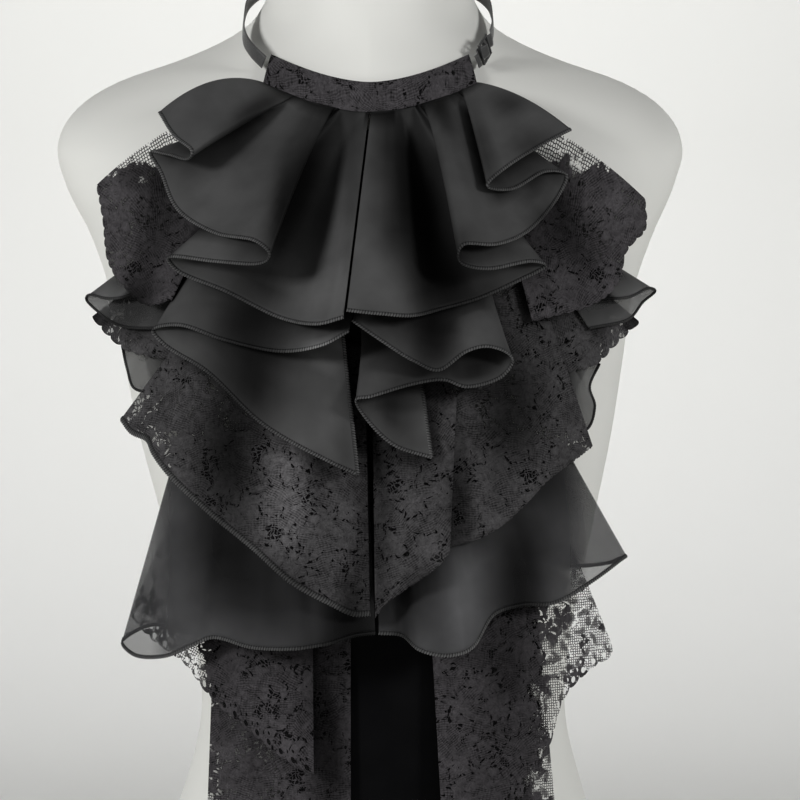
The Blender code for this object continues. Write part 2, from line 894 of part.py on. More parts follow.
def make_slider(collection, cutters, finish):
    """Flat slider on the strap: a plate with two windows and a bar between them."""
    point, along, outward = loop_frame(SLIDER_SHARE)
    place = Matrix((along.cross(outward), along, outward)).transposed().to_4x4()
    place.translation = point
    size = (SLIDER_WIDTH, SLIDER_LENGTH, SLIDER_THICKNESS)
    slider = box("strap_slider", size, [Vector((0, 0, 0))], collection, finish)
    window = (SLIDER_LENGTH - 3 * SLIDER_RAIL) / 2
    hole = (SLIDER_WIDTH - 2 * SLIDER_RAIL, window, 2 * SLIDER_THICKNESS)
    step = (window + SLIDER_RAIL) / 2
    places = [Vector((0, side * step, 0)) for side in (-1, 1)]
    cutter = box("slider_windows", hole, places, cutters, finish)
    cutter.hide_render = True
    cutter.display_type = "WIRE"
    for made in (slider, cutter):
        made.matrix_world = place
    cut = slider.modifiers.new("Windows", "BOOLEAN")
    cut.operation = "DIFFERENCE"
    cut.object = cutter
    rounded = slider.modifiers.new("Edges", "BEVEL")
    rounded.width = SLIDER_EDGE
    rounded.segments = 1
    return slider


def make_band(collection, finish):
    """Lace-covered neckband round the front of the neck."""
    return make_sheet(
        "neckband", *BAND_CELLS, band_point, BAND_THICKNESS, collection, finish
    )


def make_backing(collection, finish):
    """Plain black panel behind the tiers, which shows between the lower panels."""
    return make_sheet(
        "backing_panel", *BACKING_CELLS, backing_point, CLOTH_WALL, collection, finish
    )


def new_collection(name):
    """New collection in the scene."""
    made = bpy.data.collections.new(name)
    bpy.context.scene.collection.children.link(made)
    return made


def main():
    """Builds the form and every piece of the collar."""
    for existing in list(bpy.data.objects):
        bpy.data.objects.remove(existing, do_unlink=True)
    collection = new_collection(COLLECTION_NAME)
    cutters = new_collection("cutters")
    finishes = {name: material(name, *values) for name, values in FINISHES.items()}
    make_form(collection, finishes["white_form"])
    make_band(collection, finishes["band_lace"])
    make_strap(collection, finishes["strap_ribbon"])
    make_slider(collection, cutters, finishes["slider_plastic"])
    make_backing(collection, finishes["backing_cloth"])
    for flounce in FLOUNCES:
        make_flounce(flounce, collection, finishes[flounce.cloth])


main()
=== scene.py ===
"""Visual model of a tiered black jabot collar on a white limbless dress form.

The collar is a lace-covered neckband with a ribbon strap and, below it, tiers of chiffon and
lace that fall in zigzag pleats on both sides of the centre line. Each cloth piece is a ruled
surface between its gathered seam and its folded hem, with creases, ripples, an overlocked or
scalloped edge and a pattern that follows the cloth.
"""

import logging
import math
from dataclasses import dataclass, field
from enum import Enum
from typing import Iterable, Sequence

import bmesh
import bpy
from bmesh.types import BMesh
from bpy.types import ID, Material, Node, NodeSocket, NodeTree, Object
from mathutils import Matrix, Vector, noise
from mathutils.bvhtree import BVHTree


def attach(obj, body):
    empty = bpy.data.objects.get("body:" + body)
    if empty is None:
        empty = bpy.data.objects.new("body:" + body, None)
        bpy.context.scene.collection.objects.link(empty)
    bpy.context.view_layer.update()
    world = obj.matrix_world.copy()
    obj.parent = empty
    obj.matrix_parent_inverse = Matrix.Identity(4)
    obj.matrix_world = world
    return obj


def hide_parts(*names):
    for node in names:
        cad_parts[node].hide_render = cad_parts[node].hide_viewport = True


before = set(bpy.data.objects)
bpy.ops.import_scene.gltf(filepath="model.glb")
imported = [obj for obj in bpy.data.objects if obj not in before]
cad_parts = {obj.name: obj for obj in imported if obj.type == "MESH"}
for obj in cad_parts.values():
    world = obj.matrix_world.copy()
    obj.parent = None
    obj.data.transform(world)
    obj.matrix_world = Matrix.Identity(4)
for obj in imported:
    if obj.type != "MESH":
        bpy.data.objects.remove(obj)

LOG = logging.getLogger("jabot")
MM = 0.001
BODY = "root"


def linear_colour(code: str, alpha: float = 1.0) -> tuple[float, float, float, float]:
    """Turns an sRGB hex colour into linear values.

    Args:
        code: Colour as "#rrggbb".
        alpha: Fourth value of the result.

    Returns:
        Linear red, green and blue, and the alpha.
    """
    values = [int(code[place:place + 2], 16) / 255 for place in (1, 3, 5)]
    red, green, blue = [
        value / 12.92 if value <= 0.04045 else ((value + 0.055) / 1.055) ** 2.4
        for value in values
    ]
    return red, green, blue, alpha


def add_node(
    tree: NodeTree, kind: str, inputs: dict | Sequence = (), **settings: object
) -> Node:
    """Adds a shader node with its settings, input values and links.

    Args:
        tree: Node tree of the material or world.
        kind: Type of the node, without the "ShaderNode" that it begins with.
        inputs: Values, sockets, or nodes whose first output is used, either in the order of
            the inputs or by an input's name.
        settings: Attributes of the node.

    Returns:
        The new node.
    """
    made = tree.nodes.new("ShaderNode" + kind)
    for name, value in settings.items():
        setattr(made, name, value)
    for name, value in inputs.items() if isinstance(inputs, dict) else enumerate(inputs):
        if isinstance(value, Node):
            value = value.outputs[0]
        if isinstance(value, NodeSocket):
            tree.links.new(value, made.inputs[name])
        else:
            made.inputs[name].default_value = value
    return made


def new_material(name: str) -> tuple[Material, NodeTree]:
    """Makes an empty node material.

    Args:
        name: Name of the material.

    Returns:
        The material and its node tree.
    """
    made = bpy.data.materials.new(name)
    made.use_nodes = True
    made.node_tree.nodes.clear()
    return made, made.node_tree


@dataclass(frozen=True)
class PaintedForm:
    """Dress form of moulded plastic with a matt white lacquer.

    The lacquer scatters light evenly; a very faint unevenness of the moulding keeps the broad
    surface from looking drawn.
    """

    name: str = "white_lacquer"
    colour: str = "#e4e4df"
    shade: str = "#dfdfda"
    roughness: float = 0.62
    swell: float = 0.0012

    def make(self) -> Material:
        """Builds the material."""
        made, tree = new_material(self.name)
        place = add_node(tree, "TexCoord").outputs["Object"]
        broad = add_node(tree, "TexNoise", {"Vector": place, "Scale": 14.0, "Detail": 2.0})
        tint = add_node(
            tree, "Mix",
            {"Factor": broad.outputs["Fac"], "A": linear_colour(self.shade),
             "B": linear_colour(self.colour)},
            data_type="RGBA",
        )
        bump = add_node(
            tree, "Bump",
            {"Height": broad.outputs["Fac"], "Strength": 0.15, "Distance": self.swell},
        )
        shader = add_node(
            tree, "BsdfPrincipled",
            {"Base Color": tint.outputs["Result"], "Roughness": self.roughness, "Normal": bump},
        )
        add_node(tree, "OutputMaterial", {"Surface": shader})
        return made


def thread_colour(tree: NodeTree, colour: str, shade: Node, shaded: bool = True) -> Node:
    """Scales a colour by a pattern and by the painted shade and highlight of the folds.

    Args:
        tree: Node tree of the material.
        colour: Colour as "#rrggbb".
        shade: Brightness of the pattern.
        shaded: Whether the piece has the painted shade attribute.

    Returns:
        The shaded colour.
    """
    tint = add_node(
        tree, "VectorMath", {0: linear_colour(colour)[:3], "Scale": shade}, operation="SCALE"
    )
    if not shaded:
        return tint
    # Painted shade: darker deep in the folds, lighter on painted crowns.
    painted_shade = add_node(tree, "Attribute", attribute_name="painted_shade").outputs["Fac"]
    return add_node(tree, "VectorMath", {0: tint, "Scale": painted_shade}, operation="SCALE")


def wave(tree: NodeTree, value: NodeSocket, factor: float, shape: str = "SINE") -> Node:
    """Takes the sine or the cosine of a value times a factor."""
    angle = add_node(tree, "Math", [value, factor], operation="MULTIPLY")
    return add_node(tree, "Math", [angle], operation=shape)


def front_side(tree: NodeTree) -> Node:
    """Gives 1 on the front of a surface and 0 on its rear."""
    rear = add_node(tree, "NewGeometry").outputs["Backfacing"]
    return add_node(tree, "Math", [1.0, rear], operation="SUBTRACT")


def cover_once(tree: NodeTree, shader: Node, cover: Node) -> None:
    """Sets how much a cloth covers, on one face of its wall only, so that it counts once.

    Args:
        tree: Node tree of the material.
        shader: Shader of the cloth.
        cover: Share of the light that the cloth stops.
    """
    alpha = add_node(tree, "Math", [cover, front_side(tree)], operation="MULTIPLY")
    tree.links.new(alpha.outputs[0], shader.inputs["Alpha"])


def distance_aside(tree: NodeTree) -> Node:
    """Distance of a place from the collar's middle line, in metres.

    Args:
        tree: Node tree of the material.

    Returns:
        The distance.
    """
    place = add_node(tree, "TexCoord").outputs["Object"]
    axes = add_node(tree, "SeparateXYZ", [place])
    return add_node(tree, "Math", [axes.outputs["X"]], operation="ABSOLUTE")


@dataclass(frozen=True)
class Chiffon:
    """Fine black woven chiffon, matt to softly lustrous.

    The threads are 0.1 mm apart and too fine to show, so the crinkle of the yarn is drawn at
    0.9 mm. cover is how much of the light one layer stops: closely woven satin chiffon stops
    it all, and a single sheer layer lets the cloth or form behind show through. middle_cover is
    the same for the middle, where the gathers lie several layers deep, and sides says how far
    from the middle line, in metres, the one gives way to the other. lustre is the soft sheen of
    the fibre, gloss its mirror-like part, and shaded says whether the painted shade of the folds
    is multiplied into its colour.
    """

    name: str
    colour: str
    roughness: float
    lustre: float
    cover: float = 1.0
    middle_cover: float = 1.0
    sides: tuple[float, float] = (0.110, 0.126)
    gloss: float = 0.05
    crinkle_mm: float = 0.9
    shaded: bool = True

    def make(self) -> Material:
        """Builds the material."""
        made, tree = new_material(self.name)
        cloth = add_node(tree, "UVMap", uv_map="cloth").outputs["UV"]
        crinkle = add_node(
            tree, "TexNoise",
            {"Vector": cloth, "Scale": 1 / self.crinkle_mm, "Detail": 2.0, "Roughness": 0.6},
        )
        cloud = add_node(tree, "TexNoise", {"Vector": cloth, "Scale": 0.035, "Detail": 3.0})
        depth = add_node(tree, "MapRange", [cloud.outputs["Fac"], 0.3, 0.7, 0.82, 1.14])
        tint = thread_colour(tree, self.colour, depth, self.shaded)
        bump = add_node(
            tree, "Bump",
            {"Height": crinkle.outputs["Fac"], "Strength": 0.35, "Distance": 0.00006},
        )
        shader = add_node(
            tree, "BsdfPrincipled",
            {"Base Color": tint, "Roughness": self.roughness, "Normal": bump,
             "Specular IOR Level": self.gloss, "Sheen Weight": self.lustre,
             "Sheen Roughness": 0.45, "Sheen Tint": linear_colour("#b8b8b8")},
        )
        if self.cover < 1.0:
            threads = add_node(
                tree, "MapRange",
                [distance_aside(tree), *self.sides, self.middle_cover, self.cover],
            )
            cover_once(tree, shader, threads)
        add_node(tree, "OutputMaterial", {"Surface": shader})
        return made


@dataclass(frozen=True)
class Lace:
    """Black raschel lace: ribbed grounds, flowers and leaves, rows of holes, and bare net.

    Its threads lie 0.3 mm apart, too fine to show, so the ribs that they are knitted into are
    drawn 1.3 mm apart, and they lean another way in each patch. Petals are plain and smooth,
    and part of them is edged by a row of holes. open_ground is how much of the ground is bare
    net, see_through how clear its holes are, and border adds the eyelets of a scalloped hem.
    The net lies beyond the distances net_sides from the middle line, where net_share is added
    to its cloud, and its holes are clear beyond clear_sides and middle_clear inside. All of it
    is net over the height net_above, along a line that strays by net_wave. The distances and
    heights are in metres. The rises say how far each part stands out, and shades turns that
    height, with a random cloud of tone, into brightness: painted highlight on the raised threads
    and painted shade in the grooves and holes.
    """

    name: str
    colour: str
    open_ground: float
    see_through: float
    border: bool = False
    repeat_mm: float = 26.0
    leaf_mm: float = 9.0
    net_mm: float = 1.5
    eyelet_mm: float = 2.5
    rib_mm: float = 1.3
    petal_mm: float = 6.6
    patch_mm: float = 15.0
    grain_mm: float = 1.1
    cord_mm: float = 2.9
    net_sides: tuple[float, float] = (0.090, 0.106)
    clear_sides: tuple[float, float] = (0.084, 0.100)
    net_above: float | None = None
    net_wave: float = 0.06
    net_share: tuple[float, float] = (-0.12, 0.16)
    middle_clear: float = 0.1
    motif_rise: float = 0.4
    grain_rise: float = 1.7
    cord_rise: float = 2.3
    hole_rise: float = -2.2
    cloud_rise: float = 1.6
    shades: tuple[float, ...] = (1.65, 3.9, 0.05, 1.75)
    scallop_mm: float = 9.0
    roughness: float = 0.62

    def make(self) -> Material:
        """Builds the material."""
        made, tree = new_material(self.name)
        cloth = add_node(tree, "UVMap", uv_map="cloth").outputs["UV"]
        stray = add_node(tree, "TexNoise", {"Vector": cloth, "Scale": 0.11, "Detail": 2.0})
        shift = add_node(
            tree, "VectorMath", [stray.outputs["Color"], (0.5, 0.5, 0.5)], operation="SUBTRACT"
        )
        place = add_node(
            tree, "VectorMath", [shift, (9.0, 9.0, 0.0), cloth], operation="MULTIPLY_ADD"
        )
        flower, flower_holes = self.flowers(tree, place)
        leaf, leaf_holes = self.leaves(tree, place)
        wavy = add_node(
            tree, "VectorMath", [shift, (3.0, 3.0, 0.0), cloth], operation="MULTIPLY_ADD"
        )
        ribs = self.ribs(tree, wavy)
        cloud = add_node(tree, "TexNoise", {"Vector": cloth, "Scale": 0.06, "Detail": 3.0})
        motif = add_node(tree, "Math", [flower, leaf], operation="MAXIMUM")
        holes = add_node(tree, "Math", [flower_holes, leaf_holes], operation="MAXIMUM")
        eyelets = self.mesh_holes(tree, place, self.eyelet_mm, 0.62, cloud.outputs["Fac"])
        holes = add_node(tree, "Math", [holes, eyelets], operation="MAXIMUM")
        bare = add_node(tree, "Math", [1.0, motif], operation="SUBTRACT")
        seen = self.see_through
        if self.open_ground > 0:
            aside = distance_aside(tree)
            outer = add_node(tree, "MapRange", [aside, *self.net_sides, *self.net_share])
            thin = add_node(tree, "Math", [stray.outputs["Fac"], outer])
            net = self.mesh_holes(tree, cloth, self.net_mm, 1 - self.open_ground, thin)
            holes = add_node(tree, "Math", [holes, net], operation="MAXIMUM")
            seen = add_node(
                tree, "MapRange", [aside, *self.clear_sides, self.middle_clear, seen]
            )
        holes = add_node(tree, "Math", [holes, bare], operation="MULTIPLY")
        if self.net_above is not None:
            spot = add_node(tree, "TexCoord").outputs["Object"]
            height = add_node(tree, "SeparateXYZ", [spot]).outputs["Z"]
            height = add_node(
                tree, "Math", [stray.outputs["Fac"], self.net_wave, height],
                operation="MULTIPLY_ADD",
            )
            start = self.net_above + self.net_wave / 2
            bare_top = add_node(tree, "MapRange", [height, start, start + self.net_wave / 10])
            net = self.mesh_holes(tree, cloth, self.net_mm, 0.5, bare_top)
            holes = add_node(tree, "Math", [holes, net], operation="MAXIMUM")
            seen = add_node(tree, "Math", [bare_top, self.see_through], operation="MAXIMUM")
        if self.border:
            holes = add_node(
                tree, "Math", [holes, self.eyelet_border(tree)], operation="MAXIMUM"
            )
        relief = add_node(tree, "Math", [ribs, bare], operation="MULTIPLY")
        relief = add_node(
            tree, "Math", [motif, self.motif_rise, relief], operation="MULTIPLY_ADD"
        )
        for size, height in ((self.grain_mm, self.grain_rise), (self.cord_mm, self.cord_rise)):
            grain = add_node(
                tree, "TexNoise",
                {"Vector": wavy, "Scale": 1 / size, "Detail": 2.0, "Roughness": 0.6},
            )
            relief = add_node(
                tree, "Math", [grain.outputs["Fac"], height, relief], operation="MULTIPLY_ADD"
            )
        # Painted shade in the holes.
        relief = add_node(
            tree, "Math", [holes, self.hole_rise, relief], operation="MULTIPLY_ADD"
        )
        # Painted shade and highlight: brightness follows the height of the threads, with a
        # random cloud of tone.
        tone_and_painted_shade = add_node(
            tree, "Math", [cloud.outputs["Fac"], self.cloud_rise, relief],
            operation="MULTIPLY_ADD",
        )
        shade = add_node(tree, "MapRange", [tone_and_painted_shade, *self.shades])
        tint = thread_colour(tree, self.colour, shade)
        bump = add_node(tree, "Bump", {"Height": relief, "Strength": 0.6, "Distance": 0.0003})
        shader = add_node(
            tree, "BsdfPrincipled",
            {"Base Color": tint, "Roughness": self.roughness, "Normal": bump,
             "Specular IOR Level": 0.05, "Sheen Weight": 0.02, "Sheen Roughness": 0.5,
             "Sheen Tint": linear_colour("#bebebe")},
        )
        if self.see_through > 0:
            opened = add_node(tree, "Math", [holes, seen], operation="MULTIPLY")
            cover = add_node(tree, "Math", [1.0, opened], operation="SUBTRACT")
            cover_once(tree, shader, cover)
        add_node(tree, "OutputMaterial", {"Surface": shader})
        return made

    def flowers(self, tree: NodeTree, place: Node) -> tuple[Node, Node]:
        """Five-petalled flowers, each partly ringed by a row of holes.

        Args:
            tree: Node tree of the lace.
            place: Position on the cloth in millimetres.

        Returns:
            The flower mask and the mask of its holes.
        """
        cells = add_node(
            tree, "TexVoronoi",
            {"Vector": place, "Scale": 1 / self.repeat_mm, "Randomness": 0.8},
            voronoi_dimensions="2D",
        )
        local = add_node(
            tree, "VectorMath", [place, cells.outputs["Position"]], operation="SUBTRACT"
        )
        axes = add_node(tree, "SeparateXYZ", [local])
        hue = add_node(tree, "SeparateColor", [cells.outputs["Color"]])
        reach = add_node(tree, "VectorMath", [local], operation="LENGTH").outputs["Value"]
        turn = add_node(
            tree, "Math", [axes.outputs["Y"], axes.outputs["X"]], operation="ARCTAN2"
        )
        spin = add_node(tree, "Math", [hue.outputs["Red"], math.tau], operation="MULTIPLY")
        petals = add_node(tree, "Math", [turn, 5.0, spin], operation="MULTIPLY_ADD")
        petals = add_node(tree, "Math", [petals], operation="COSINE")
        rim = add_node(
            tree, "Math", [petals, 0.22 * self.petal_mm, self.petal_mm], operation="MULTIPLY_ADD"
        )
        share = add_node(tree, "Math", [reach, rim], operation="DIVIDE")
        flower = add_node(tree, "MapRange", [share, 0.8, 1.2, 1.0, 0.0])
        slit = add_node(tree, "Math", [petals, -0.88], operation="LESS_THAN")
        middle = add_node(tree, "Math", [share, 0.6, 0.28], operation="COMPARE")
        slit = add_node(tree, "Math", [slit, middle], operation="MULTIPLY")
        flower = add_node(tree, "Math", [slit, -0.8, flower], operation="MULTIPLY_ADD")
        ring = add_node(tree, "Math", [share, 1.26, 0.13], operation="COMPARE")
        gaps = add_node(tree, "Math", [wave(tree, turn, 17.0), 0.0], operation="GREATER_THAN")
        part = add_node(tree, "Math", [turn, spin])
        part = add_node(tree, "Math", [part], operation="SINE")
        part = add_node(tree, "Math", [part, -0.2], operation="GREATER_THAN")
        holes = add_node(tree, "Math", [ring, gaps], operation="MULTIPLY")
        holes = add_node(tree, "Math", [holes, part], operation="MULTIPLY")
        return flower, holes

    def leaves(self, tree: NodeTree, place: Node) -> tuple[Node, Node]:
        """Pointed leaves in every direction, part of them edged with holes.

        Args:
            tree: Node tree of the lace.
            place: Position on the cloth in millimetres.

        Returns:
            The leaf mask and the mask of the holes beside the leaves.
        """
        cells = add_node(
            tree, "TexVoronoi",
            {"Vector": place, "Scale": 1 / self.leaf_mm, "Randomness": 0.85},
            voronoi_dimensions="2D",
        )
        hue = add_node(tree, "SeparateColor", [cells.outputs["Color"]])
        local = add_node(
            tree, "VectorMath", [place, cells.outputs["Position"]], operation="SUBTRACT"
        )
        angle = add_node(tree, "Math", [hue.outputs["Red"], math.tau], operation="MULTIPLY")
        turned = add_node(
            tree, "VectorRotate", {"Vector": local, "Angle": angle}, rotation_type="Z_AXIS"
        )
        leaf_share = add_node(
            tree, "VectorMath", [turned, (1 / 4.2, 1 / 1.8, 0.0)], operation="MULTIPLY"
        )
        size = add_node(tree, "VectorMath", [leaf_share], operation="LENGTH").outputs["Value"]
        leaf = add_node(tree, "MapRange", [size, 0.6, 1.2, 0.8, 0.0])
        axes = add_node(tree, "SeparateXYZ", [leaf_share])
        bend = add_node(
            tree, "Math", [axes.outputs["Y"], axes.outputs["X"]], operation="ARCTAN2"
        )
        gaps = add_node(tree, "Math", [wave(tree, bend, 9.0), 0.0], operation="GREATER_THAN")
        ring = add_node(tree, "Math", [size, 1.45, 0.26], operation="COMPARE")
        above = add_node(tree, "Math", [axes.outputs["Y"], 0.0], operation="GREATER_THAN")
        edged = add_node(tree, "Math", [hue.outputs["Green"], 0.6], operation="GREATER_THAN")
        holes = ring
        for limit in (gaps, edged, above):
            holes = add_node(tree, "Math", [holes, limit], operation="MULTIPLY")
        return leaf, holes

    def ribs(self, tree: NodeTree, cloth: NodeSocket) -> Node:
        """Height of the knitted ribs, which lean another way in each patch.

        Args:
            tree: Node tree of the lace.
            cloth: Position on the cloth in millimetres.

        Returns:
            The height, from -0.6 to 0.6.
        """
        patches = add_node(
            tree, "TexVoronoi",
            {"Vector": cloth, "Scale": 1 / self.patch_mm, "Randomness": 1.0},
            voronoi_dimensions="2D",
        )
        hue = add_node(tree, "SeparateColor", [patches.outputs["Color"]])
        lean = add_node(
            tree, "MapRange", {"Value": hue.outputs["Blue"], "To Min": 0.9, "To Max": 2.0}
        )
        turned = add_node(
            tree, "VectorRotate", {"Vector": cloth, "Angle": lean}, rotation_type="Z_AXIS"
        )
        axes = add_node(tree, "SeparateXYZ", [turned])
        rib = wave(tree, axes.outputs["X"], math.tau / self.rib_mm)
        bars = wave(tree, axes.outputs["Y"], math.tau / (1.4 * self.rib_mm))
        ribs = add_node(tree, "Math", [bars, 0.5, rib], operation="MULTIPLY_ADD")
        return add_node(tree, "Math", [ribs, 0.4], operation="MULTIPLY")

    def mesh_holes(
        self, tree: NodeTree, place: NodeSocket, cell_mm: float, level: float, where: NodeSocket
    ) -> Node:
        """Holes of a six-sided mesh, in the parts of the cloth where a cloud is thick.

        Args:
            tree: Node tree of the lace.
            place: Position on the cloth in millimetres.
            cell_mm: Width of a cell in millimetres.
            level: Thickness of the cloud, from 0 to 1, above which the mesh is open.
            where: The cloud.

        Returns:
            The mask of the holes.
        """
        cells = add_node(
            tree, "TexVoronoi",
            {"Vector": place, "Scale": 1 / cell_mm, "Randomness": 0.4},
            voronoi_dimensions="2D", feature="DISTANCE_TO_EDGE",
        )
        hole = add_node(tree, "MapRange", [cells.outputs["Distance"], 0.1, 0.2])
        inside = add_node(tree, "MapRange", [where, level - 0.01, level + 0.01])
        return add_node(tree, "Math", [hole, inside], operation="MULTIPLY")

    def eyelet_border(self, tree: NodeTree) -> Node:
        """Row of eyelets along the scallops, one round one in each and a small one between.

        Args:
            tree: Node tree of the lace.

        Returns:
            The mask of the eyelets.
        """
        edge = add_node(tree, "UVMap", uv_map="edge").outputs["UV"]
        axes = add_node(tree, "SeparateXYZ", [edge])
        along = add_node(
            tree, "Math", [axes.outputs["X"], self.scallop_mm], operation="FLOORED_MODULO"
        )
        holes = None
        for middle, inward, radius in ((0.5, 3.4, 1.6), (0.0, 6.2, 1.1), (0.5, 8.4, 0.9)):
            offset = add_node(
                tree, "Math", [along, middle * self.scallop_mm], operation="SUBTRACT"
            )
            down = add_node(tree, "Math", [axes.outputs["Y"], inward], operation="SUBTRACT")
            spot = add_node(tree, "CombineXYZ", {"X": offset, "Y": down})
            away = add_node(tree, "VectorMath", [spot], operation="LENGTH").outputs["Value"]
            hole = add_node(tree, "Math", [away, radius], operation="LESS_THAN")
            holes = hole if holes is None else add_node(
                tree, "Math", [holes, hole], operation="MAXIMUM"
            )
        return holes


@dataclass(frozen=True)
class Thread:
    """Spun polyester thread, wound over the edge of the cloth in slanted turns.

    Each turn is painted lighter on its crown, where it bends over the cloth's edge, and the gaps
    between the turns are painted dark as shade. rim is the painted light across the tube:
    painted shade on the inner side and painted highlight on the edge.
    """

    name: str
    colour: str
    gap_shade: float
    rim: tuple[float, float] = (0.45, 1.35)
    pitch_mm: float = 1.6
    roughness: float = 0.5

    def make(self) -> Material:
        """Builds the material."""
        made, tree = new_material(self.name)
        wound = add_node(tree, "UVMap", uv_map="cloth").outputs["UV"]
        axes = add_node(tree, "SeparateXYZ", [wound])
        along = add_node(
            tree, "Math", [axes.outputs["X"], math.tau / self.pitch_mm], operation="MULTIPLY"
        )
        turn = add_node(
            tree, "Math", [axes.outputs["Y"], math.tau, along], operation="MULTIPLY_ADD"
        )
        # Painted highlight on the crowns of the turns and painted shade in the gaps.
        crown = add_node(tree, "Math", [turn], operation="COSINE")
        fuzz = add_node(tree, "TexNoise", {"Vector": wound, "Scale": 0.9, "Detail": 2.0})
        crown = add_node(
            tree, "Math", [fuzz.outputs["Fac"], 2.4, crown], operation="MULTIPLY_ADD"
        )
        depth = add_node(tree, "MapRange", [crown, 0.1, 2.3, self.gap_shade, 1.25])
        # Painted shade on the inner side and painted highlight on the edge.
        outward = wave(tree, axes.outputs["Y"], math.tau, "COSINE")
        rim = add_node(tree, "MapRange", [outward, -0.7, 0.9, *self.rim])
        depth = add_node(tree, "Math", [depth, rim], operation="MULTIPLY")
        tint = thread_colour(tree, self.colour, depth)
        shader = add_node(
            tree, "BsdfPrincipled",
            {"Base Color": tint, "Roughness": self.roughness, "Specular IOR Level": 0.08},
        )
        add_node(tree, "OutputMaterial", {"Surface": shader})
        return made


@dataclass(frozen=True)
class Ribbon:
    """Woven satin ribbon: a smooth lustrous face with fine cross ribs.

    The ribs are 0.3 mm apart, too fine to show, and are drawn 0.8 mm apart.
    """

    name: str
    colour: str
    shade: str = "#242424"
    rib_mm: float = 0.8
    roughness: float = 0.42

    def make(self) -> Material:
        """Builds the material."""
        made, tree = new_material(self.name)
        cloth = add_node(tree, "UVMap", uv_map="cloth").outputs["UV"]
        across = add_node(tree, "SeparateXYZ", [cloth])
        rib = wave(tree, across.outputs["X"], math.tau / self.rib_mm)
        cloud = add_node(tree, "TexNoise", {"Vector": cloth, "Scale": 0.4, "Detail": 3.0})
        tint = add_node(
            tree, "Mix",
            {"Factor": cloud.outputs["Fac"], "A": linear_colour(self.shade),
             "B": linear_colour(self.colour)},
            data_type="RGBA",
        )
        bump = add_node(tree, "Bump", {"Height": rib, "Strength": 0.4, "Distance": 0.00008})
        shader = add_node(
            tree, "BsdfPrincipled",
            {"Base Color": tint.outputs["Result"], "Roughness": self.roughness, "Normal": bump,
             "Sheen Weight": 0.2},
        )
        add_node(tree, "OutputMaterial", {"Surface": shader})
        return made


@dataclass(frozen=True)
class MouldedPlastic:
    """Black moulded acetal of the slider, half gloss with a faint grain from its mould."""

    name: str = "moulded_acetal"
    colour: str = "#2b2b2c"
    shade: str = "#232324"
    roughness: float = 0.38
    grain_mm: float = 0.35

    def make(self) -> Material:
        """Builds the material."""
        made, tree = new_material(self.name)
        place = add_node(tree, "TexCoord").outputs["Object"]
        grain = add_node(
            tree, "TexNoise", {"Vector": place, "Scale": 1 / (self.grain_mm * MM), "Detail": 1.0}
        )
        bump = add_node(
            tree, "Bump", {"Height": grain.outputs["Fac"], "Strength": 0.2, "Distance": 0.00003}
        )
        tint = add_node(
            tree, "Mix",
            {"Factor": grain.outputs["Fac"], "A": linear_colour(self.shade),
             "B": linear_colour(self.colour)},
            data_type="RGBA",
        )
        shader = add_node(
            tree, "BsdfPrincipled",
            {"Base Color": tint.outputs["Result"], "Roughness": self.roughness, "Normal": bump},
        )
        add_node(tree, "OutputMaterial", {"Surface": shader})
        return made


def smooth_curve(
    points: Sequence[Sequence[float]], knots: Sequence[float], value: float
) -> list[float]:
    """Finds the values at a knot value on a smooth curve through points.

    Args:
        points: Values at each knot.
        knots: Increasing knot values.
        value: Knot value to look up.

    Returns:
        The values there, with parabola tangents at the inner points.
    """
    last = len(points) - 1
    step = 0
    while step < last - 1 and value > knots[step + 1]:
        step += 1

    def slope(index: int) -> list[float]:
        """Tangent at one of the points."""
        if index == 0:
            return [(b - a) / (knots[1] - knots[0]) for a, b in zip(points[0], points[1])]
        if index == last:
            span = knots[last] - knots[last - 1]
            return [(b - a) / span for a, b in zip(points[last - 1], points[last])]
        before = knots[index] - knots[index - 1]
        after = knots[index + 1] - knots[index]
        return [
            ((b - a) / before * after + (c - b) / after * before) / (before + after)
            for a, b, c in zip(points[index - 1], points[index], points[index + 1])
        ]

    span = knots[step + 1] - knots[step]
    t = (value - knots[step]) / span
    start_slope = slope(step)
    end_slope = slope(step + 1)
    return [
        (1 + 2 * t) * (1 - t) ** 2 * p + t * (1 - t) ** 2 * span * m
        + t * t * (3 - 2 * t) * q - t * t * (1 - t) * span * n
        for p, q, m, n in zip(points[step], points[step + 1], start_slope, end_slope)
    ]


def row_at(rows: Sequence[Sequence[float]], height: float) -> list[float]:
    """Finds the values of a table of sections at a height.

    Args:
        rows: Sections from the lowest up, each beginning with its height.
        height: Height in the table's own unit.

    Returns:
        The section's other values there.
    """
    knots = [row[0] for row in rows]
    return smooth_curve([row[1:] for row in rows], knots, min(max(height, knots[0]), knots[-1]))


# Depth of the drape surface in front of the middle, and the half width that sets how fast it
# curves back to the sides, at each millimetre of height
DRAPE_SECTIONS = (
    (0, 119, 160), (340, 119, 160), (360, 118, 161), (400, 113, 164), (450, 99, 174),
    (480, 84, 183), (505, 76, 184), (530, 68, 184), (560, 62, 184),
)
DRAPE_BY_MM = [row_at(DRAPE_SECTIONS, height) for height in range(562)]


def drape_point(x: float, z: float, out: float) -> Vector:
    """Finds a point in front of the surface that the cloth drapes over.

    Args:
        x: Distance across in millimetres.
        z: Height in millimetres.
        out: Distance in front of the surface in millimetres.

    Returns:
        The point in metres.
    """
    held = min(max(z, 0.0), 560.0)
    floor = int(held)
    lower, upper = DRAPE_BY_MM[floor], DRAPE_BY_MM[floor + 1]
    front, half_width = [a + (b - a) * (held - floor) for a, b in zip(lower, upper)]
    fall = front * x * x / (2 * half_width * half_width)
    return Vector((x, fall - front - out, z)) * MM


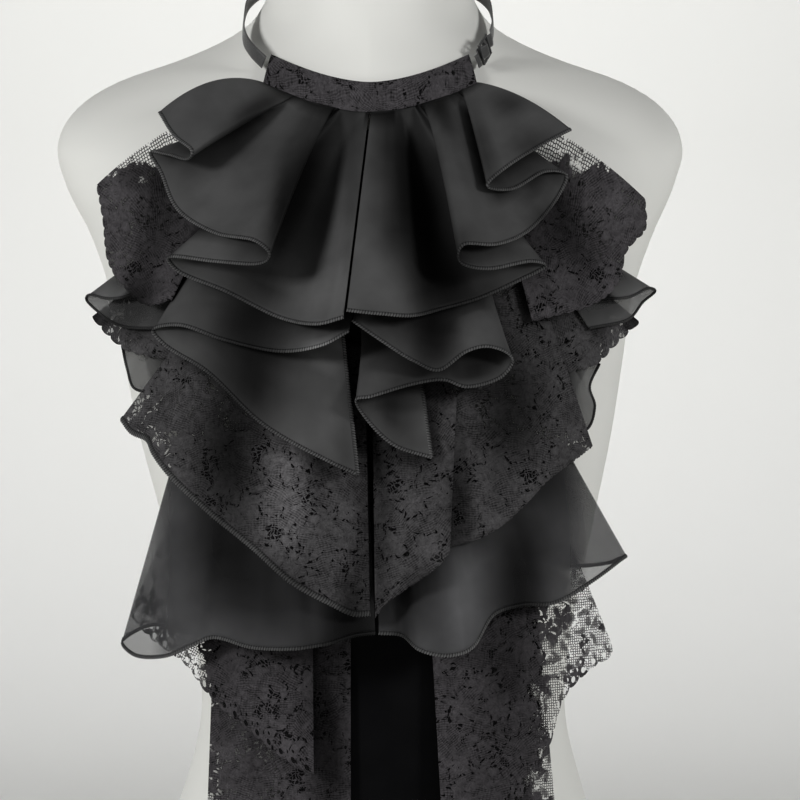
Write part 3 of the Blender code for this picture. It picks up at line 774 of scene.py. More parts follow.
def meeting_point(first: Vector, second: Vector, reach: float, span: float) -> Vector:
    """Finds a point on the flat cloth from its distances to two others.

    Args:
        first: Point that reach is measured from.
        second: Point that span is measured from.
        reach: Distance from the first point.
        span: Distance from the second point.

    Returns:
        The point on the right of the line from the first to the second.
    """
    line = second - first
    apart = max(line.length, 1e-6)
    ahead = (reach * reach - span * span + apart * apart) / (2 * apart)
    aside = math.sqrt(max(reach * reach - ahead * ahead, 0.0))
    unit = line / apart
    return first + unit * ahead + Vector((unit.y, -unit.x)) * aside


class Cloth(Enum):
    """Cloths of the collar."""

    SATIN = "satin chiffon"
    SOFT = "soft chiffon"
    SHEER = "sheer chiffon"
    LACE = "ribbed lace"
    SIDE_LACE = "ribbed lace with a net top"
    OPEN_LACE = "open lace"


class Edge(Enum):
    """Ways a hem is finished."""

    OVERLOCKED = "overlocked"
    ROLLED = "rolled"
    SCALLOPED = "scalloped"
    RAW = "raw"


class Side(Enum):
    """Edges of a piece that carry the hem's finish."""

    START = "start"
    HEM = "hem"
    END = "end"


@dataclass(frozen=True)
class Crease:
    """A soft ridge or valley pressed into a piece, from its seam side down to its hem side.

    top and foot are the places along the hem, from 0 to 1, where it starts and ends, start and
    end how far down the cloth that is, width its half width along the hem, and depth how far
    it stands out, in millimetres.
    """

    top: float
    foot: float
    start: float
    end: float
    width: float
    depth: float

    def push(self, u: float, v: float) -> float:
        """Distance that the crease pushes the cloth outward, in millimetres."""
        if not self.start < v:
            return 0.0
        down = min((v - self.start) / (self.end - self.start), 1.0)
        middle = self.top + (self.foot - self.top) * down
        away = (u - middle) / self.width
        return self.depth * math.exp(-away * away) * math.sin(down * math.pi / 2) ** 1.5


@dataclass(frozen=True)
class PaintedShading:
    """A soft patch of painted shade over a fold, or of painted highlight on a crown.

    x and z are its middle across and up, half_x and half_z its half sizes, in millimetres, and
    lean the turn of its long axis in degrees. depth is the share of the colour that its painted
    shade takes away; a painted highlight's is negative.
    """

    x: float
    z: float
    half_x: float
    half_z: float
    lean: float
    depth: float

    def light(self, x: float, z: float) -> float:
        """Factor of painted shade or highlight at a place across and up, in millimetres."""
        turn = math.radians(self.lean)
        right, up = x - self.x, z - self.z
        across = (right * math.cos(turn) + up * math.sin(turn)) / self.half_x
        along = (up * math.cos(turn) - right * math.sin(turn)) / self.half_z
        away = (across * across + along * along) ** 0.5
        return 1 - self.depth * math.exp(-away ** 2.6)


@dataclass
class Column:
    """One line of cloth from the seam down to the hem, and where it lies on the flat cloth."""

    fold: list[float]
    seam: list[float]
    along: float = 0.0
    length: float = 1.0
    top: Vector = field(default_factory=lambda: Vector((0.0, 0.0)))
    foot: Vector = field(default_factory=lambda: Vector((0.0, 0.0)))


@dataclass(frozen=True)
class Station:
    """Place on a binding: middle, direction across, normal, how it lies, and painted shade."""

    middle: Vector
    across: Vector
    normal: Vector
    along: float
    painted_shade: float = 1.0


@dataclass
class Flounce:
    """A cloth piece: a ruled surface between its gathered seam and its folded hem.

    Seam points are (across, height, out) and folds are (share of the seam, across, height,
    out, upward bow, lateness), in millimetres, as in the solid that the piece stands for; the
    bow and the lateness may be left out where they are 0. cut is the width, length and area of
    the cloth before it was gathered, in metres.
    """

    name: str
    cloth: Cloth
    edge: Edge
    cut: tuple[float, float, float]
    seam: Sequence[Sequence[float]]
    hem: Sequence[Sequence[float]]
    opening: float
    sides: tuple[Side, ...] = (Side.HEM,)
    across: int = 200
    down: int = 30
    ripple: float = 1.2
    creases: tuple[Crease, ...] = ()
    painted_shading: tuple[PaintedShading, ...] = ()
    wall_mm: float = 0.35
    scallop_mm: float = 9.0
    scallop_depth: float = 2.2
    overlock_half_mm: float = 1.15
    overlock_step_mm: float = 0.4
    stitch_mm: float = 1.6
    shade_step: int = 4
    knots: list[float] = field(init=False)
    seed: float = field(init=False)
    columns: list[Column] = field(init=False)
    places: list[tuple[float, float]] = field(init=False, default_factory=list)
    # Painted shade at every shade_step-th place of the grid.
    painted_shade: dict[tuple[int, int], float] = field(init=False, default_factory=dict)
    piece: Object | None = field(init=False, default=None)

    def __post_init__(self) -> None:
        """Works out the lines of cloth and the flat pattern."""
        self.hem = [(*fold, 0.0, 0.0)[:6] for fold in self.hem]
        self.knots = self.hem_knots()
        self.seed = sum(ord(letter) for letter in self.name) * 0.37
        self.columns = [self.column(step / self.across) for step in range(self.across + 1)]
        self.unroll()

    def hem_knots(self) -> list[float]:
        """Knots along the hem, shared between its length, its rows and its share of the seam."""
        lengths = [0.0]
        for a, b in zip(self.hem, self.hem[1:]):
            lengths.append(lengths[-1] + math.dist(a[1:4], b[1:4]))
        rows = len(self.hem) - 1
        return [
            (length / lengths[-1] + index / rows + fold[0]) / 3
            for index, (length, fold) in enumerate(zip(lengths, self.hem))
        ]

    def column(self, u: float) -> Column:
        """Line of cloth at u along the hem, from 0 to 1."""
        fold = smooth_curve(self.hem, self.knots, u)
        spacing = [index / (len(self.seam) - 1) for index in range(len(self.seam))]
        seam = smooth_curve(self.seam, spacing, min(max(fold[0], 0.0), 1.0))
        return Column(fold, seam)

    def point(self, column: Column, v: float, rise: float = 0.0) -> Vector:
        """Finds a point of a line of cloth.

        Args:
            column: Line of cloth.
            v: Way down it, from 0 at the seam to 1 at the hem.
            rise: Extra distance outward, in millimetres.

        Returns:
            The point in metres.
        """
        _, x, z, out, bow, lag = column.fold
        seam_x, seam_z, seam_out = column.seam
        return drape_point(
            seam_x + (x - seam_x) * v,
            seam_z + (z - seam_z) * v + 4 * bow * v * (1 - v),
            seam_out + (out - seam_out) * v ** (self.opening + lag) + rise,
        )

    def unroll(self) -> None:
        """Lays the lines of cloth out flat, one after another, at their true distances."""
        first = self.columns[0]
        first.length = (self.point(first, 1.0) - self.point(first, 0.0)).length / MM
        first.foot = Vector((0.0, -first.length))
        for before, after in zip(self.columns, self.columns[1:]):
            top, foot = self.point(before, 0.0) / MM, self.point(before, 1.0) / MM
            next_top, next_foot = self.point(after, 0.0) / MM, self.point(after, 1.0) / MM
            after.top = meeting_point(
                before.foot, before.top, (next_top - foot).length, (next_top - top).length
            )
            after.length = (next_foot - next_top).length
            after.foot = meeting_point(
                before.foot, after.top, (next_foot - foot).length, after.length
            )
            after.along = before.along + (next_foot - foot).length

    def crinkle(self, u: float, v: float, column: Column) -> float:
        """Distance that ripples and creases push the cloth outward, in millimetres."""
        along, down = column.along, v * column.length
        broad = noise.noise(Vector((along / 34, down / 90, self.seed)))
        fine = noise.noise(Vector((along / 12, down / 40, self.seed + 5)))
        pushed = sum(crease.push(u, v) for crease in self.creases)
        return self.ripple * v ** 1.5 * (broad + 0.45 * fine) + pushed

    def along_at(self, u: float) -> float:
        """Distance along the hem at u, in millimetres."""
        place = u * self.across
        step = min(int(place), self.across - 1)
        before, after = self.columns[step], self.columns[step + 1]
        return before.along + (after.along - before.along) * (place - step)

    def trimmed(self, column: Column, v: float) -> float:
        """Way down the cloth once its hem is cut to scallops or left raw."""
        if self.edge is Edge.SCALLOPED:
            stray = 2.2 * noise.noise(Vector((column.along / 8, self.seed, 0.0)))
            step = (column.along + stray) / self.scallop_mm % 1.0
            cut = self.scallop_depth * (1 - math.sqrt(max(1 - (2 * step - 1) ** 2, 0.0)))
        elif self.edge is Edge.RAW:
            cut = 1.6 * abs(noise.noise(Vector((column.along / 2.1, self.seed, 0.0))))
        else:
            return v
        return v * (1 - cut / max(column.length, 10.0))

    def at(self, u: float, v: float) -> Vector:
        """Point of the finished surface at u along the hem and v down from the seam."""
        column = self.column(u)
        column.along = self.along_at(u)
        column.length = self.columns[round(u * self.across)].length
        return self.point(column, v, self.crinkle(u, v, column))

    def build(self) -> Object:
        """Builds the cloth with its wall and its flat pattern."""
        mesh = new_grid(self.across, self.down)
        flat, margins = [], []
        for vertex in mesh.verts:
            u, v = vertex.co.x + 0.5, 0.5 - vertex.co.y
            self.places.append((u, v))
            column = self.columns[round(u * self.across)]
            v = self.trimmed(column, v)
            vertex.co = self.point(column, v, self.crinkle(u, v, column))
            flat.append(column.top.lerp(column.foot, v))
            margins.append((column.along, (1 - v) * column.length))
        lay_flat(mesh, "cloth", flat)
        lay_flat(mesh, "edge", margins)
        return new_object(self.name + "_cloth", mesh, self.wall_mm)

    def shade(self, air: "OpenAir") -> None:
        """Paints shade into the cloth, from the open air it faces and its painted shading."""
        data = self.piece.data
        for vertex, (u, v) in zip(data.vertices, self.places):
            column, row = round(u * self.across), round(v * self.down)
            if column % self.shade_step == 0 and row % self.shade_step == 0:
                facing = vertex.normal if vertex.normal.y < 0 else -vertex.normal
                spot = (column // self.shade_step, row // self.shade_step)
                # Painted shade and painted highlight of the listed spots.
                lit = math.prod(
                    shading_spot.light(vertex.co.x / MM, vertex.co.z / MM) for shading_spot in self.painted_shading
                )
                self.painted_shade[spot] = air.painted_shade(vertex.co, facing) * lit
        shades = data.attributes.new("painted_shade", "FLOAT", "POINT")
        shades.data.foreach_set("value", [self.painted_shade_at(u, v) for u, v in self.places])

    def painted_shade_at(self, u: float, v: float) -> float:
        """Painted shade at u along the hem and v down, between the measured places."""
        column, row = u * self.across / self.shade_step, v * self.down / self.shade_step
        left = min(int(column), self.across // self.shade_step - 1)
        upper = min(int(row), self.down // self.shade_step - 1)
        right, lower = column - left, row - upper
        first = self.painted_shade[left, upper] * (1 - lower) + self.painted_shade[left, upper + 1] * lower
        second = (
            self.painted_shade[left + 1, upper] * (1 - lower)
            + self.painted_shade[left + 1, upper + 1] * lower
        )
        return first * (1 - right) + second * right

    def hem_path(self) -> Iterable[Station]:
        """Stations along the hem."""
        reach = self.columns[-1].along
        steps = max(int(reach / self.overlock_step_mm), 2)
        for step, u in enumerate(self.even_steps(steps)):
            length = self.columns[round(u * self.across)].length
            v = 1 - 0.6 * self.overlock_half_mm / length
            yield self.station(u, v, True, reach * step / steps)

    def even_steps(self, steps: int) -> list[float]:
        """Values of u at equal distances along the hem."""
        reach = self.columns[-1].along
        found, index = [], 0
        for step in range(steps + 1):
            wanted = reach * step / steps
            while index < self.across - 1 and self.columns[index + 1].along < wanted:
                index += 1
            before, after = self.columns[index].along, self.columns[index + 1].along
            share = (wanted - before) / max(after - before, 1e-6)
            found.append((index + min(max(share, 0.0), 1.0)) / self.across)
        return found

    def side_path(self, side: Side) -> Iterable[Station]:
        """Stations down one end of the piece."""
        u = 0.0 if side is Side.START else 1.0
        length = self.columns[0 if side is Side.START else -1].length
        steps = max(int(length / self.overlock_step_mm), 2)
        for step in range(steps + 1):
            yield self.station(u, 0.04 + 0.96 * step / steps, False, length * step / steps)

    def station(self, u: float, v: float, along_hem: bool, along: float) -> Station:
        """Finds how the cloth lies at a place.

        Args:
            u: Place along the hem.
            v: Way down from the seam.
            along_hem: True for a binding that runs along the hem, False for one down a side.
            along: Distance along the binding in millimetres.

        Returns:
            The station.
        """
        small = 0.25 / self.across
        low, high = max(u - small, 0.0), min(u + small, 1.0)
        sideways = (self.at(high, v) - self.at(low, v)).normalized()
        downward = (self.at(u, min(v + 0.01, 1.0)) - self.at(u, v - 0.01)).normalized()
        normal = sideways.cross(downward).normalized()
        ahead = sideways if along_hem else downward
        across = normal.cross(ahead).normalized()
        return Station(self.at(u, v), across, normal, along, self.painted_shade_at(u, v))

    def build_edging(self) -> Object | None:
        """Builds the overlocked or rolled edging, or nothing for a scalloped or raw edge."""
        if self.edge not in (Edge.OVERLOCKED, Edge.ROLLED):
            return None
        mesh = bmesh.new()
        mesh.loops.layers.uv.new("cloth")
        mesh.verts.layers.float.new("painted_shade")
        rolled = self.edge is Edge.ROLLED
        half = self.overlock_half_mm * MM * (0.75 if rolled else 1.0)
        height = half if rolled else 0.55 * half
        for side in self.sides:
            path = list(self.hem_path() if side is Side.HEM else self.side_path(side))
            add_tube(mesh, path, half, height, 0.05 if rolled else 0.2, self.stitch_mm)
        return new_object(self.name + "_edging", mesh)

    def make_cloth(self, finishes: dict) -> Object:
        """Builds the cloth and dresses it in the finish of its kind."""
        self.piece = self.build()
        dress(self.piece, finishes[self.cloth], FRAME_SLOTS[self.cloth])
        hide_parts(self.name)
        return self.piece

    def make_edging(self, finishes: dict) -> None:
        edging = self.build_edging()
        if edging:
            dress(edging, finishes[self.edge], FRAME_SLOTS[self.cloth])
        width, length, area = self.cut


FRAME_SLOTS = {
    Cloth.SATIN: "satin_chiffon",
    Cloth.SOFT: "satin_chiffon",
    Cloth.SHEER: "sheer_chiffon",
    Cloth.LACE: "black_lace",
    Cloth.SIDE_LACE: "black_lace",
    Cloth.OPEN_LACE: "black_lace",
}


def add_tube(
    mesh: BMesh,
    path: Sequence[Station],
    half: float,
    height: float,
    relief: float,
    pitch: float,
    sides: int = 8,
) -> None:
    """Adds a flattened tube along a path, with slanted threads wound round it.

    Args:
        mesh: Mesh that it is added to, with a "cloth" UV map and a painted shade layer.
        path: Stations, which are close enough together to carry the threads.
        half: Half width in metres.
        height: Half height in metres.
        relief: Share of its size that the threads stand out.
        pitch: Distance from thread to thread in millimetres.
        sides: Faces round the tube.
    """
    layer = mesh.loops.layers.uv["cloth"]
    shades = mesh.verts.layers.float["painted_shade"]
    count = len(path) - 1
    made = bmesh.ops.create_grid(mesh, x_segments=count, y_segments=sides, size=0.5)
    flat = {}
    for vertex in made["verts"]:
        spot = path[round((vertex.co.x + 0.5) * count)]
        share = vertex.co.y + 0.5
        turn = share * math.tau
        swell = 1 + relief * math.cos(math.tau * (spot.along / pitch + share))
        flat[vertex] = (spot.along, share)
        # Painted shade of the cloth, carried onto its binding.
        vertex[shades] = spot.painted_shade
        vertex.co = (
            spot.middle
            + spot.across * (half * swell * math.cos(turn))
            + spot.normal * (height * swell * math.sin(turn))
        )
    for face in {face for vertex in made["verts"] for face in vertex.link_faces}:
        for loop in face.loops:
            loop[layer].uv = flat[loop.vert]
    bmesh.ops.remove_doubles(mesh, verts=made["verts"], dist=1e-7)
    rims = [edge for edge in mesh.edges if edge.is_boundary]
    bmesh.ops.holes_fill(mesh, edges=rims, sides=sides)


class OpenAir:
    """Measures the open air in front of a place that cloth doesn't shut off, for painted shade.
    """

    def __init__(
        self, pieces: Iterable[Object], rays: int = 30, reach: float = 0.08, power: float = 1.8
    ) -> None:
        """Gathers what can stand in the way.

        Args:
            pieces: Objects whose meshes shut off air.
            rays: Number of directions that are tried.
            reach: Distance that is tried, in metres.
            power: How much faster than the open air the painted shade falls.
        """
        points, faces = [], []
        for piece in pieces:
            first = len(points)
            points += [vertex.co.copy() for vertex in piece.data.vertices]
            faces += [[first + v for v in face.vertices] for face in piece.data.polygons]
        self.tree = BVHTree.FromPolygons(points, faces)
        self.reach = reach
        self.power = power
        golden = math.pi * (3 - math.sqrt(5))
        self.rays = [
            Vector((
                math.sqrt((step + 0.5) / rays) * math.cos(golden * step),
                math.sqrt((step + 0.5) / rays) * math.sin(golden * step),
                math.sqrt(1 - (step + 0.5) / rays),
            ))
            for step in range(rays)
        ]

    def painted_shade(self, place: Vector, facing: Vector) -> float:
        """Share of open air in front of a place, from 0 to 1, which is painted as shade.

        Args:
            place: The place, in metres.
            facing: Unit normal of the side that is measured.

        Returns:
            The share, raised to the power.
        """
        side = facing.orthogonal().normalized()
        other = facing.cross(side)
        start = place + facing * 1.5 * MM
        clear = 0.0
        for ray in self.rays:
            way = side * ray.x + other * ray.y + facing * ray.z
            hit = self.tree.ray_cast(start, way, self.reach)
            clear += 1.0 if hit[3] is None else hit[3] / self.reach
        return max(clear / len(self.rays), 0.02) ** self.power


def add_object(name: str, data: ID) -> Object:
    """Adds an object that shows some data to the scene."""
    made = bpy.data.objects.new(name, data)
    bpy.context.scene.collection.objects.link(made)
    return made


def new_object(name: str, mesh: BMesh, wall_mm: float | None = None) -> Object:
    """Makes a smooth shaded object of a bmesh.

    Args:
        name: Name of the piece.
        mesh: Its mesh, which is freed.
        wall_mm: Thickness of its wall, for a sheet.

    Returns:
        The object, at the origin.
    """
    data = bpy.data.meshes.new(name)
    mesh.to_mesh(data)
    mesh.free()
    data.shade_smooth()
    made = add_object(name, data)
    if wall_mm:
        wall = made.modifiers.new("Wall", "SOLIDIFY")
        wall.thickness = wall_mm * MM
        wall.offset = 0.0
    return made


def new_grid(across: int, down: int) -> BMesh:
    """Makes a square grid of side 1 round the origin, of so many faces each way."""
    mesh = bmesh.new()
    bmesh.ops.create_grid(mesh, x_segments=across, y_segments=down, size=0.5)
    return mesh


def lay_flat(mesh: BMesh, name: str, flat: Sequence[Sequence[float]]) -> None:
    """Writes where each vertex lies on the flat cloth to a UV map.

    Args:
        mesh: Mesh with the vertices.
        name: Name of the UV map.
        flat: Place of each vertex in millimetres, in their order.
    """
    layer = mesh.loops.layers.uv.new(name)
    mesh.verts.index_update()
    for face in mesh.faces:
        for loop in face.loops:
            loop[layer].uv = flat[loop.vert.index]


def close_tube(mesh: BMesh) -> None:
    """Joins the long edges of a tube, closes its ends and turns its faces outward."""
    bmesh.ops.remove_doubles(mesh, verts=mesh.verts, dist=1e-6)
    bmesh.ops.holes_fill(mesh, edges=[edge for edge in mesh.edges if edge.is_boundary])
    bmesh.ops.recalc_face_normals(mesh, faces=mesh.faces)


def dress(piece: Object, finish: Material, slot: str) -> None:
    """Gives a piece its material and its body.

    Args:
        piece: Object to dress.
        finish: Its material.
        slot: Name of the record's material slot; not used.
    """
    piece.data.materials.clear()
    piece.data.materials.append(finish)
    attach(piece, BODY)
    LOG.info("%s: %d vertices, %s", piece.name, len(piece.data.vertices), finish.name)


@dataclass
class DressForm:
    """Limbless display form, a smooth moulded shell that stands on its flat base.

    Each section is height, half width, depth in front, depth behind, depth of the widest
    line, sway to one side and superellipse power, in millimetres.
    """

    sections: Sequence[Sequence[float]] = (
        (0, 146, 92, 104, 4, 4, 2.2),
        (45, 138, 90, 100, 4, 6, 2.2),
        (95, 119, 82, 86, 3, 8, 2.2),
        (140, 109, 78, 74, 2, 8, 2.2),
        (190, 114, 82, 76, 2, 7, 2.2),
        (250, 128, 94, 86, 2, 5, 2.2),
        (310, 142, 106, 94, 2, 3, 2.1),
        (350, 149, 109, 98, 2, 2, 2.1),
        (390, 156, 106, 100, 3, 1, 2.1),
        (425, 168, 98, 98, 5, 1, 2.1),
        (455, 182, 87, 92, 8, 0, 2.1),
        (478, 187, 78, 84, 12, 0, 2.0),
        (495, 180, 72, 77, 16, 0, 1.8),
        (508, 166, 67, 74, 20, 0, 1.6),
        (518, 147, 64, 72, 24, 0, 1.45),
        (528, 118, 60, 70, 27, 0, 1.4),
        (538, 94, 56, 69, 30, 0, 1.45),
        (549, 75, 52, 68, 30, 0, 1.65),
        (562, 64, 48, 67, 22, 0, 1.9),
        (580, 60, 45, 66, 12, 0, 2.0),
        (606, 58, 43, 65, 11, 0, 2.0),
    )
    height: float = 606.0
    rounding: float = 6.0
    sides: int = 144
    rings: int = 150
    rounding_rings: int = 6

    def rim(self, height: float, turn: float, inset: float = 0.0) -> Vector:
        """Point of the shell.

        Args:
            height: Height of the section in millimetres.
            turn: Direction round the form in radians.
            inset: Distance drawn in, in millimetres.

        Returns:
            The point in metres.
        """
        half_width, front, back, axis, middle, power = row_at(self.sections, height)
        across, along = math.cos(turn), math.sin(turn)
        depth = front + axis if along < 0 else back - axis
        x = math.copysign(abs(across) ** (2 / power), across) * (half_width - inset) + middle
        y = math.copysign(abs(along) ** (2 / power), along) * (depth - inset) + axis
        return Vector((x, y, height)) * MM

    def front_at(self, x: float, height: float) -> float:
        """Depth of the front surface at x and a height, all in millimetres."""
        half_width, front, _, axis, middle, power = row_at(self.sections, height)
        share = min(abs(x - middle) / half_width, 1.0)
        return axis - (front + axis) * (1 - share ** power) ** (1 / power)

    def build(self) -> Object:
        """Builds the closed shell: a tube drawn through the sections, with both ends closed."""
        rings = self.rings + self.rounding_rings
        mesh = new_grid(self.sides, rings)
        rounded = self.rounding_rings / rings
        for vertex in mesh.verts:
            turn = (vertex.co.x + 0.5) * math.tau
            up = vertex.co.y + 0.5
            if up <= 1 - rounded:
                straight = self.height - self.rounding
                vertex.co = self.rim(straight * up / (1 - rounded), turn)
                continue
            bend = (up - 1 + rounded) / rounded * math.pi / 2
            inset = self.rounding * (1 - math.cos(bend))
            vertex.co = self.rim(self.height - self.rounding, turn, inset)
            vertex.co.z += self.rounding * math.sin(bend) * MM
        close_tube(mesh)
        made = new_object("dress_form_shell", mesh)
        made.data.set_sharp_from_angle(angle=math.radians(50))
        return made

    def make(self, finish: Material) -> Object:
        """Builds and dresses the form."""
        made = self.build()
        dress(made, finish, "white_form")
        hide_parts("dress_form")
        return made


@dataclass
class Neckband:
    """Padded band round the front of the neck, covered in corded lace over satin."""

    form: DressForm
    top_half: float = 58.0
    foot_half: float = 62.5
    top_height: float = 514.0
    depth: float = 17.8
    end_rise: float = 17.0
    stand_off: float = 4.8
    thickness: float = 3.3
    across: int = 220
    around: int = 40

    def middle(self, u: float, v: float) -> Vector:
        """Point of the middle surface, u from the left end and v from the top."""
        across = 2 * u - 1
        x = across * (self.top_half + (self.foot_half - self.top_half) * v)
        height = self.top_height + self.end_rise * abs(across) ** 1.7 - self.depth * v
        return Vector((x, self.form.front_at(x, height) - self.stand_off, height)) * MM

    def build(self) -> Object:
        """Builds the band as a flat tube with rounded edges and gently swelling lace."""
        mesh = new_grid(self.across, self.around)
        shades = mesh.verts.layers.float.new("painted_shade")
        length = 2 * self.foot_half + self.end_rise
        flat = []
        for vertex in mesh.verts:
            u, turn = vertex.co.x + 0.5, (vertex.co.y + 0.5) * math.tau
            flat.append((u * length, -math.cos(turn) * self.depth / 2))
            down = 0.5 - 0.5 * math.copysign(abs(math.cos(turn)) ** 0.75, math.cos(turn))
            bulge = math.copysign(abs(math.sin(turn)) ** 0.6, math.sin(turn))
            here = self.middle(u, down)
            ahead = self.middle(min(u + 0.01, 1.0), down) - self.middle(max(u - 0.01, 0), down)
            outward = ahead.cross(Vector((0, 0, 1))).normalized()
            end = min(u, 1 - u) * length
            full = min(math.sqrt(max(end, 0.0) / 1.5), 1.0)
            pad = 1 + 0.16 * noise.noise(Vector((u * length / 7, down * 2.2, 3.0)))
            vertex.co = here + outward * (bulge * full * pad * self.thickness / 2 * MM)
        lay_flat(mesh, "cloth", flat)
        close_tube(mesh)
        # No painted shade on the band: the attribute is 1 all over.
        for vertex in mesh.verts:
            vertex[shades] = 1.0
        return new_object("neckband_lace", mesh)

    def make(self, finish: Material) -> Object:
        """Builds and dresses the band."""
        made = self.build()
        dress(made, finish, "band_lace")
        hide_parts("neckband")
        return made


@dataclass
class Strap:
    """Ribbon from the band's ends round the back of the neck, woven through its slider."""

    route: Sequence[Sequence[float]] = (
        (-62, -46, 526), (-69, -37, 533), (-74, -22, 541), (-75, -3, 551), (-72, 17, 564),
        (-59, 44, 574), (-31, 66, 580), (-1, 73, 582), (29, 66, 580), (56, 45, 574),
        (70, 18, 564), (73, -3, 551), (71, -21, 541), (67, -35, 533), (62, -46, 526),
    )
    axis: float = 8.0
    width: float = 8.0
    wall: float = 0.6
    weave: float = 1.8
    slider_share: float = 0.92
    bar_pitch: float = 7.1
    across: int = 420
    down: int = 6
    cut: tuple[float, float] = (0.330, 0.010)

    def frame_at(self, share: float) -> tuple[Vector, Vector, Vector]:
        """Middle of the ribbon, its direction and its outward direction, at a share of it."""
        spacing = [index / (len(self.route) - 1) for index in range(len(self.route))]
        point = Vector(smooth_curve(self.route, spacing, share)) * MM
        ahead = Vector(smooth_curve(self.route, spacing, min(share + 0.004, 1.0)))
        behind = Vector(smooth_curve(self.route, spacing, max(share - 0.004, 0.0)))
        along = (ahead - behind).normalized()
        outward = Vector((point.x, point.y - self.axis * MM, 0.0))
        outward = (outward - outward.project(along)).normalized()
        return point, along, outward

    def build(self) -> Object:
        """Builds the ribbon."""
        mesh = new_grid(self.across, self.down)
        middle, slide, _ = self.frame_at(self.slider_share)
        flat = []
        for vertex in mesh.verts:
            share, side = vertex.co.x + 0.5, vertex.co.y
            point, along, outward = self.frame_at(share)
            bars_away = (point - middle).dot(slide) / (self.bar_pitch * MM)
            near = math.exp(-((bars_away / 2.2) ** 6)) if share > 0.7 else 0.0
            woven = self.weave * MM * math.cos(math.pi * bars_away) * near
            crown = 0.25 * MM * (1 - 4 * side * side)
            vertex.co = (
                point + outward * (woven + crown)
                - along.cross(outward) * (self.width * MM * side)
            )
            flat.append((share * self.cut[0] / MM, side * self.width))
        lay_flat(mesh, "cloth", flat)
        return new_object("neck_strap_ribbon", mesh, self.wall)

    def make(self, ribbon: Material, plastic: Material) -> Object:
        """Builds and dresses the ribbon, and dresses the slider that it runs through."""
        made = self.build()
        dress(made, ribbon, "strap_ribbon")
        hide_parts("neck_strap")
        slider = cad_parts["strap_slider"]
        slider.data.materials.clear()
        slider.data.materials.append(plastic)
        return made


@dataclass
class BackingPanel:
    """Plain crepe panel behind the tiers, seen only through the gap down the middle."""

    top: float = 486.0
    foot: float = 66.0
    top_half: float = 42.0
    foot_half: float = 52.0
    out: float = -5.0
    wall: float = 0.4
    cut: tuple[float, float] = (0.110, 0.430)

    def make(self, finish: Material) -> Object:
        """Builds and dresses the panel."""
        mesh = new_grid(40, 150)
        flat = []
        for vertex in mesh.verts:
            side, down = 2 * vertex.co.x, 0.5 - vertex.co.y
            half = self.top_half + (self.foot_half - self.top_half) * down
            height = self.top + (self.foot - self.top) * down
            flat.append((side * half, height))
            sway = 0.5 * noise.noise(Vector((side * 2.5, height / 90, 0.0)))
            vertex.co = drape_point(side * half, height, self.out + sway)
        lay_flat(mesh, "cloth", flat)
        made = new_object("backing_panel_cloth", mesh, self.wall)
        dress(made, finish, "backing_cloth")
        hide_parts("backing_panel")
        return made


@dataclass
class Collar:
    """All the gathered cloth of the jabot, from the top tier to the lowest."""

    flounces: Sequence[Flounce]
    others: Sequence[Object]
    cloths: dict = field(
        default_factory=lambda: {
            Cloth.SATIN: Chiffon("satin_chiffon", "#484848", 0.55, 0.02),
            Cloth.SOFT: Chiffon("soft_chiffon", "#4a4a4a", 0.6, 0.04, 0.88),
            Cloth.SHEER: Chiffon("sheer_chiffon", "#404041", 0.6, 0.03, 0.66, 0.97),
            Cloth.LACE: Lace("ribbed_lace", "#3c3b3c", 0.0, 0.35),
            Cloth.SIDE_LACE: Lace("side_lace", "#3c3a3c", 0.0, 0.08, net_above=0.462),
            Cloth.OPEN_LACE: Lace("open_lace", "#3a383a", 0.47, 0.95, border=True),
            Edge.OVERLOCKED: Thread("overlock_thread", "#4e4e4e", 0.25),
            Edge.ROLLED: Thread("rolled_hem_thread", "#2c2c2c", 0.8, (0.9, 1.0)),
        }
    )

    def make(self) -> None:
        """Builds every cloth piece."""
        finishes = {key: finish.make() for key, finish in self.cloths.items()}
        cloths = [flounce.make_cloth(finishes) for flounce in self.flounces]
        air = OpenAir([*cloths, *self.others])
        for flounce in self.flounces:
            flounce.shade(air)
            flounce.make_edging(finishes)


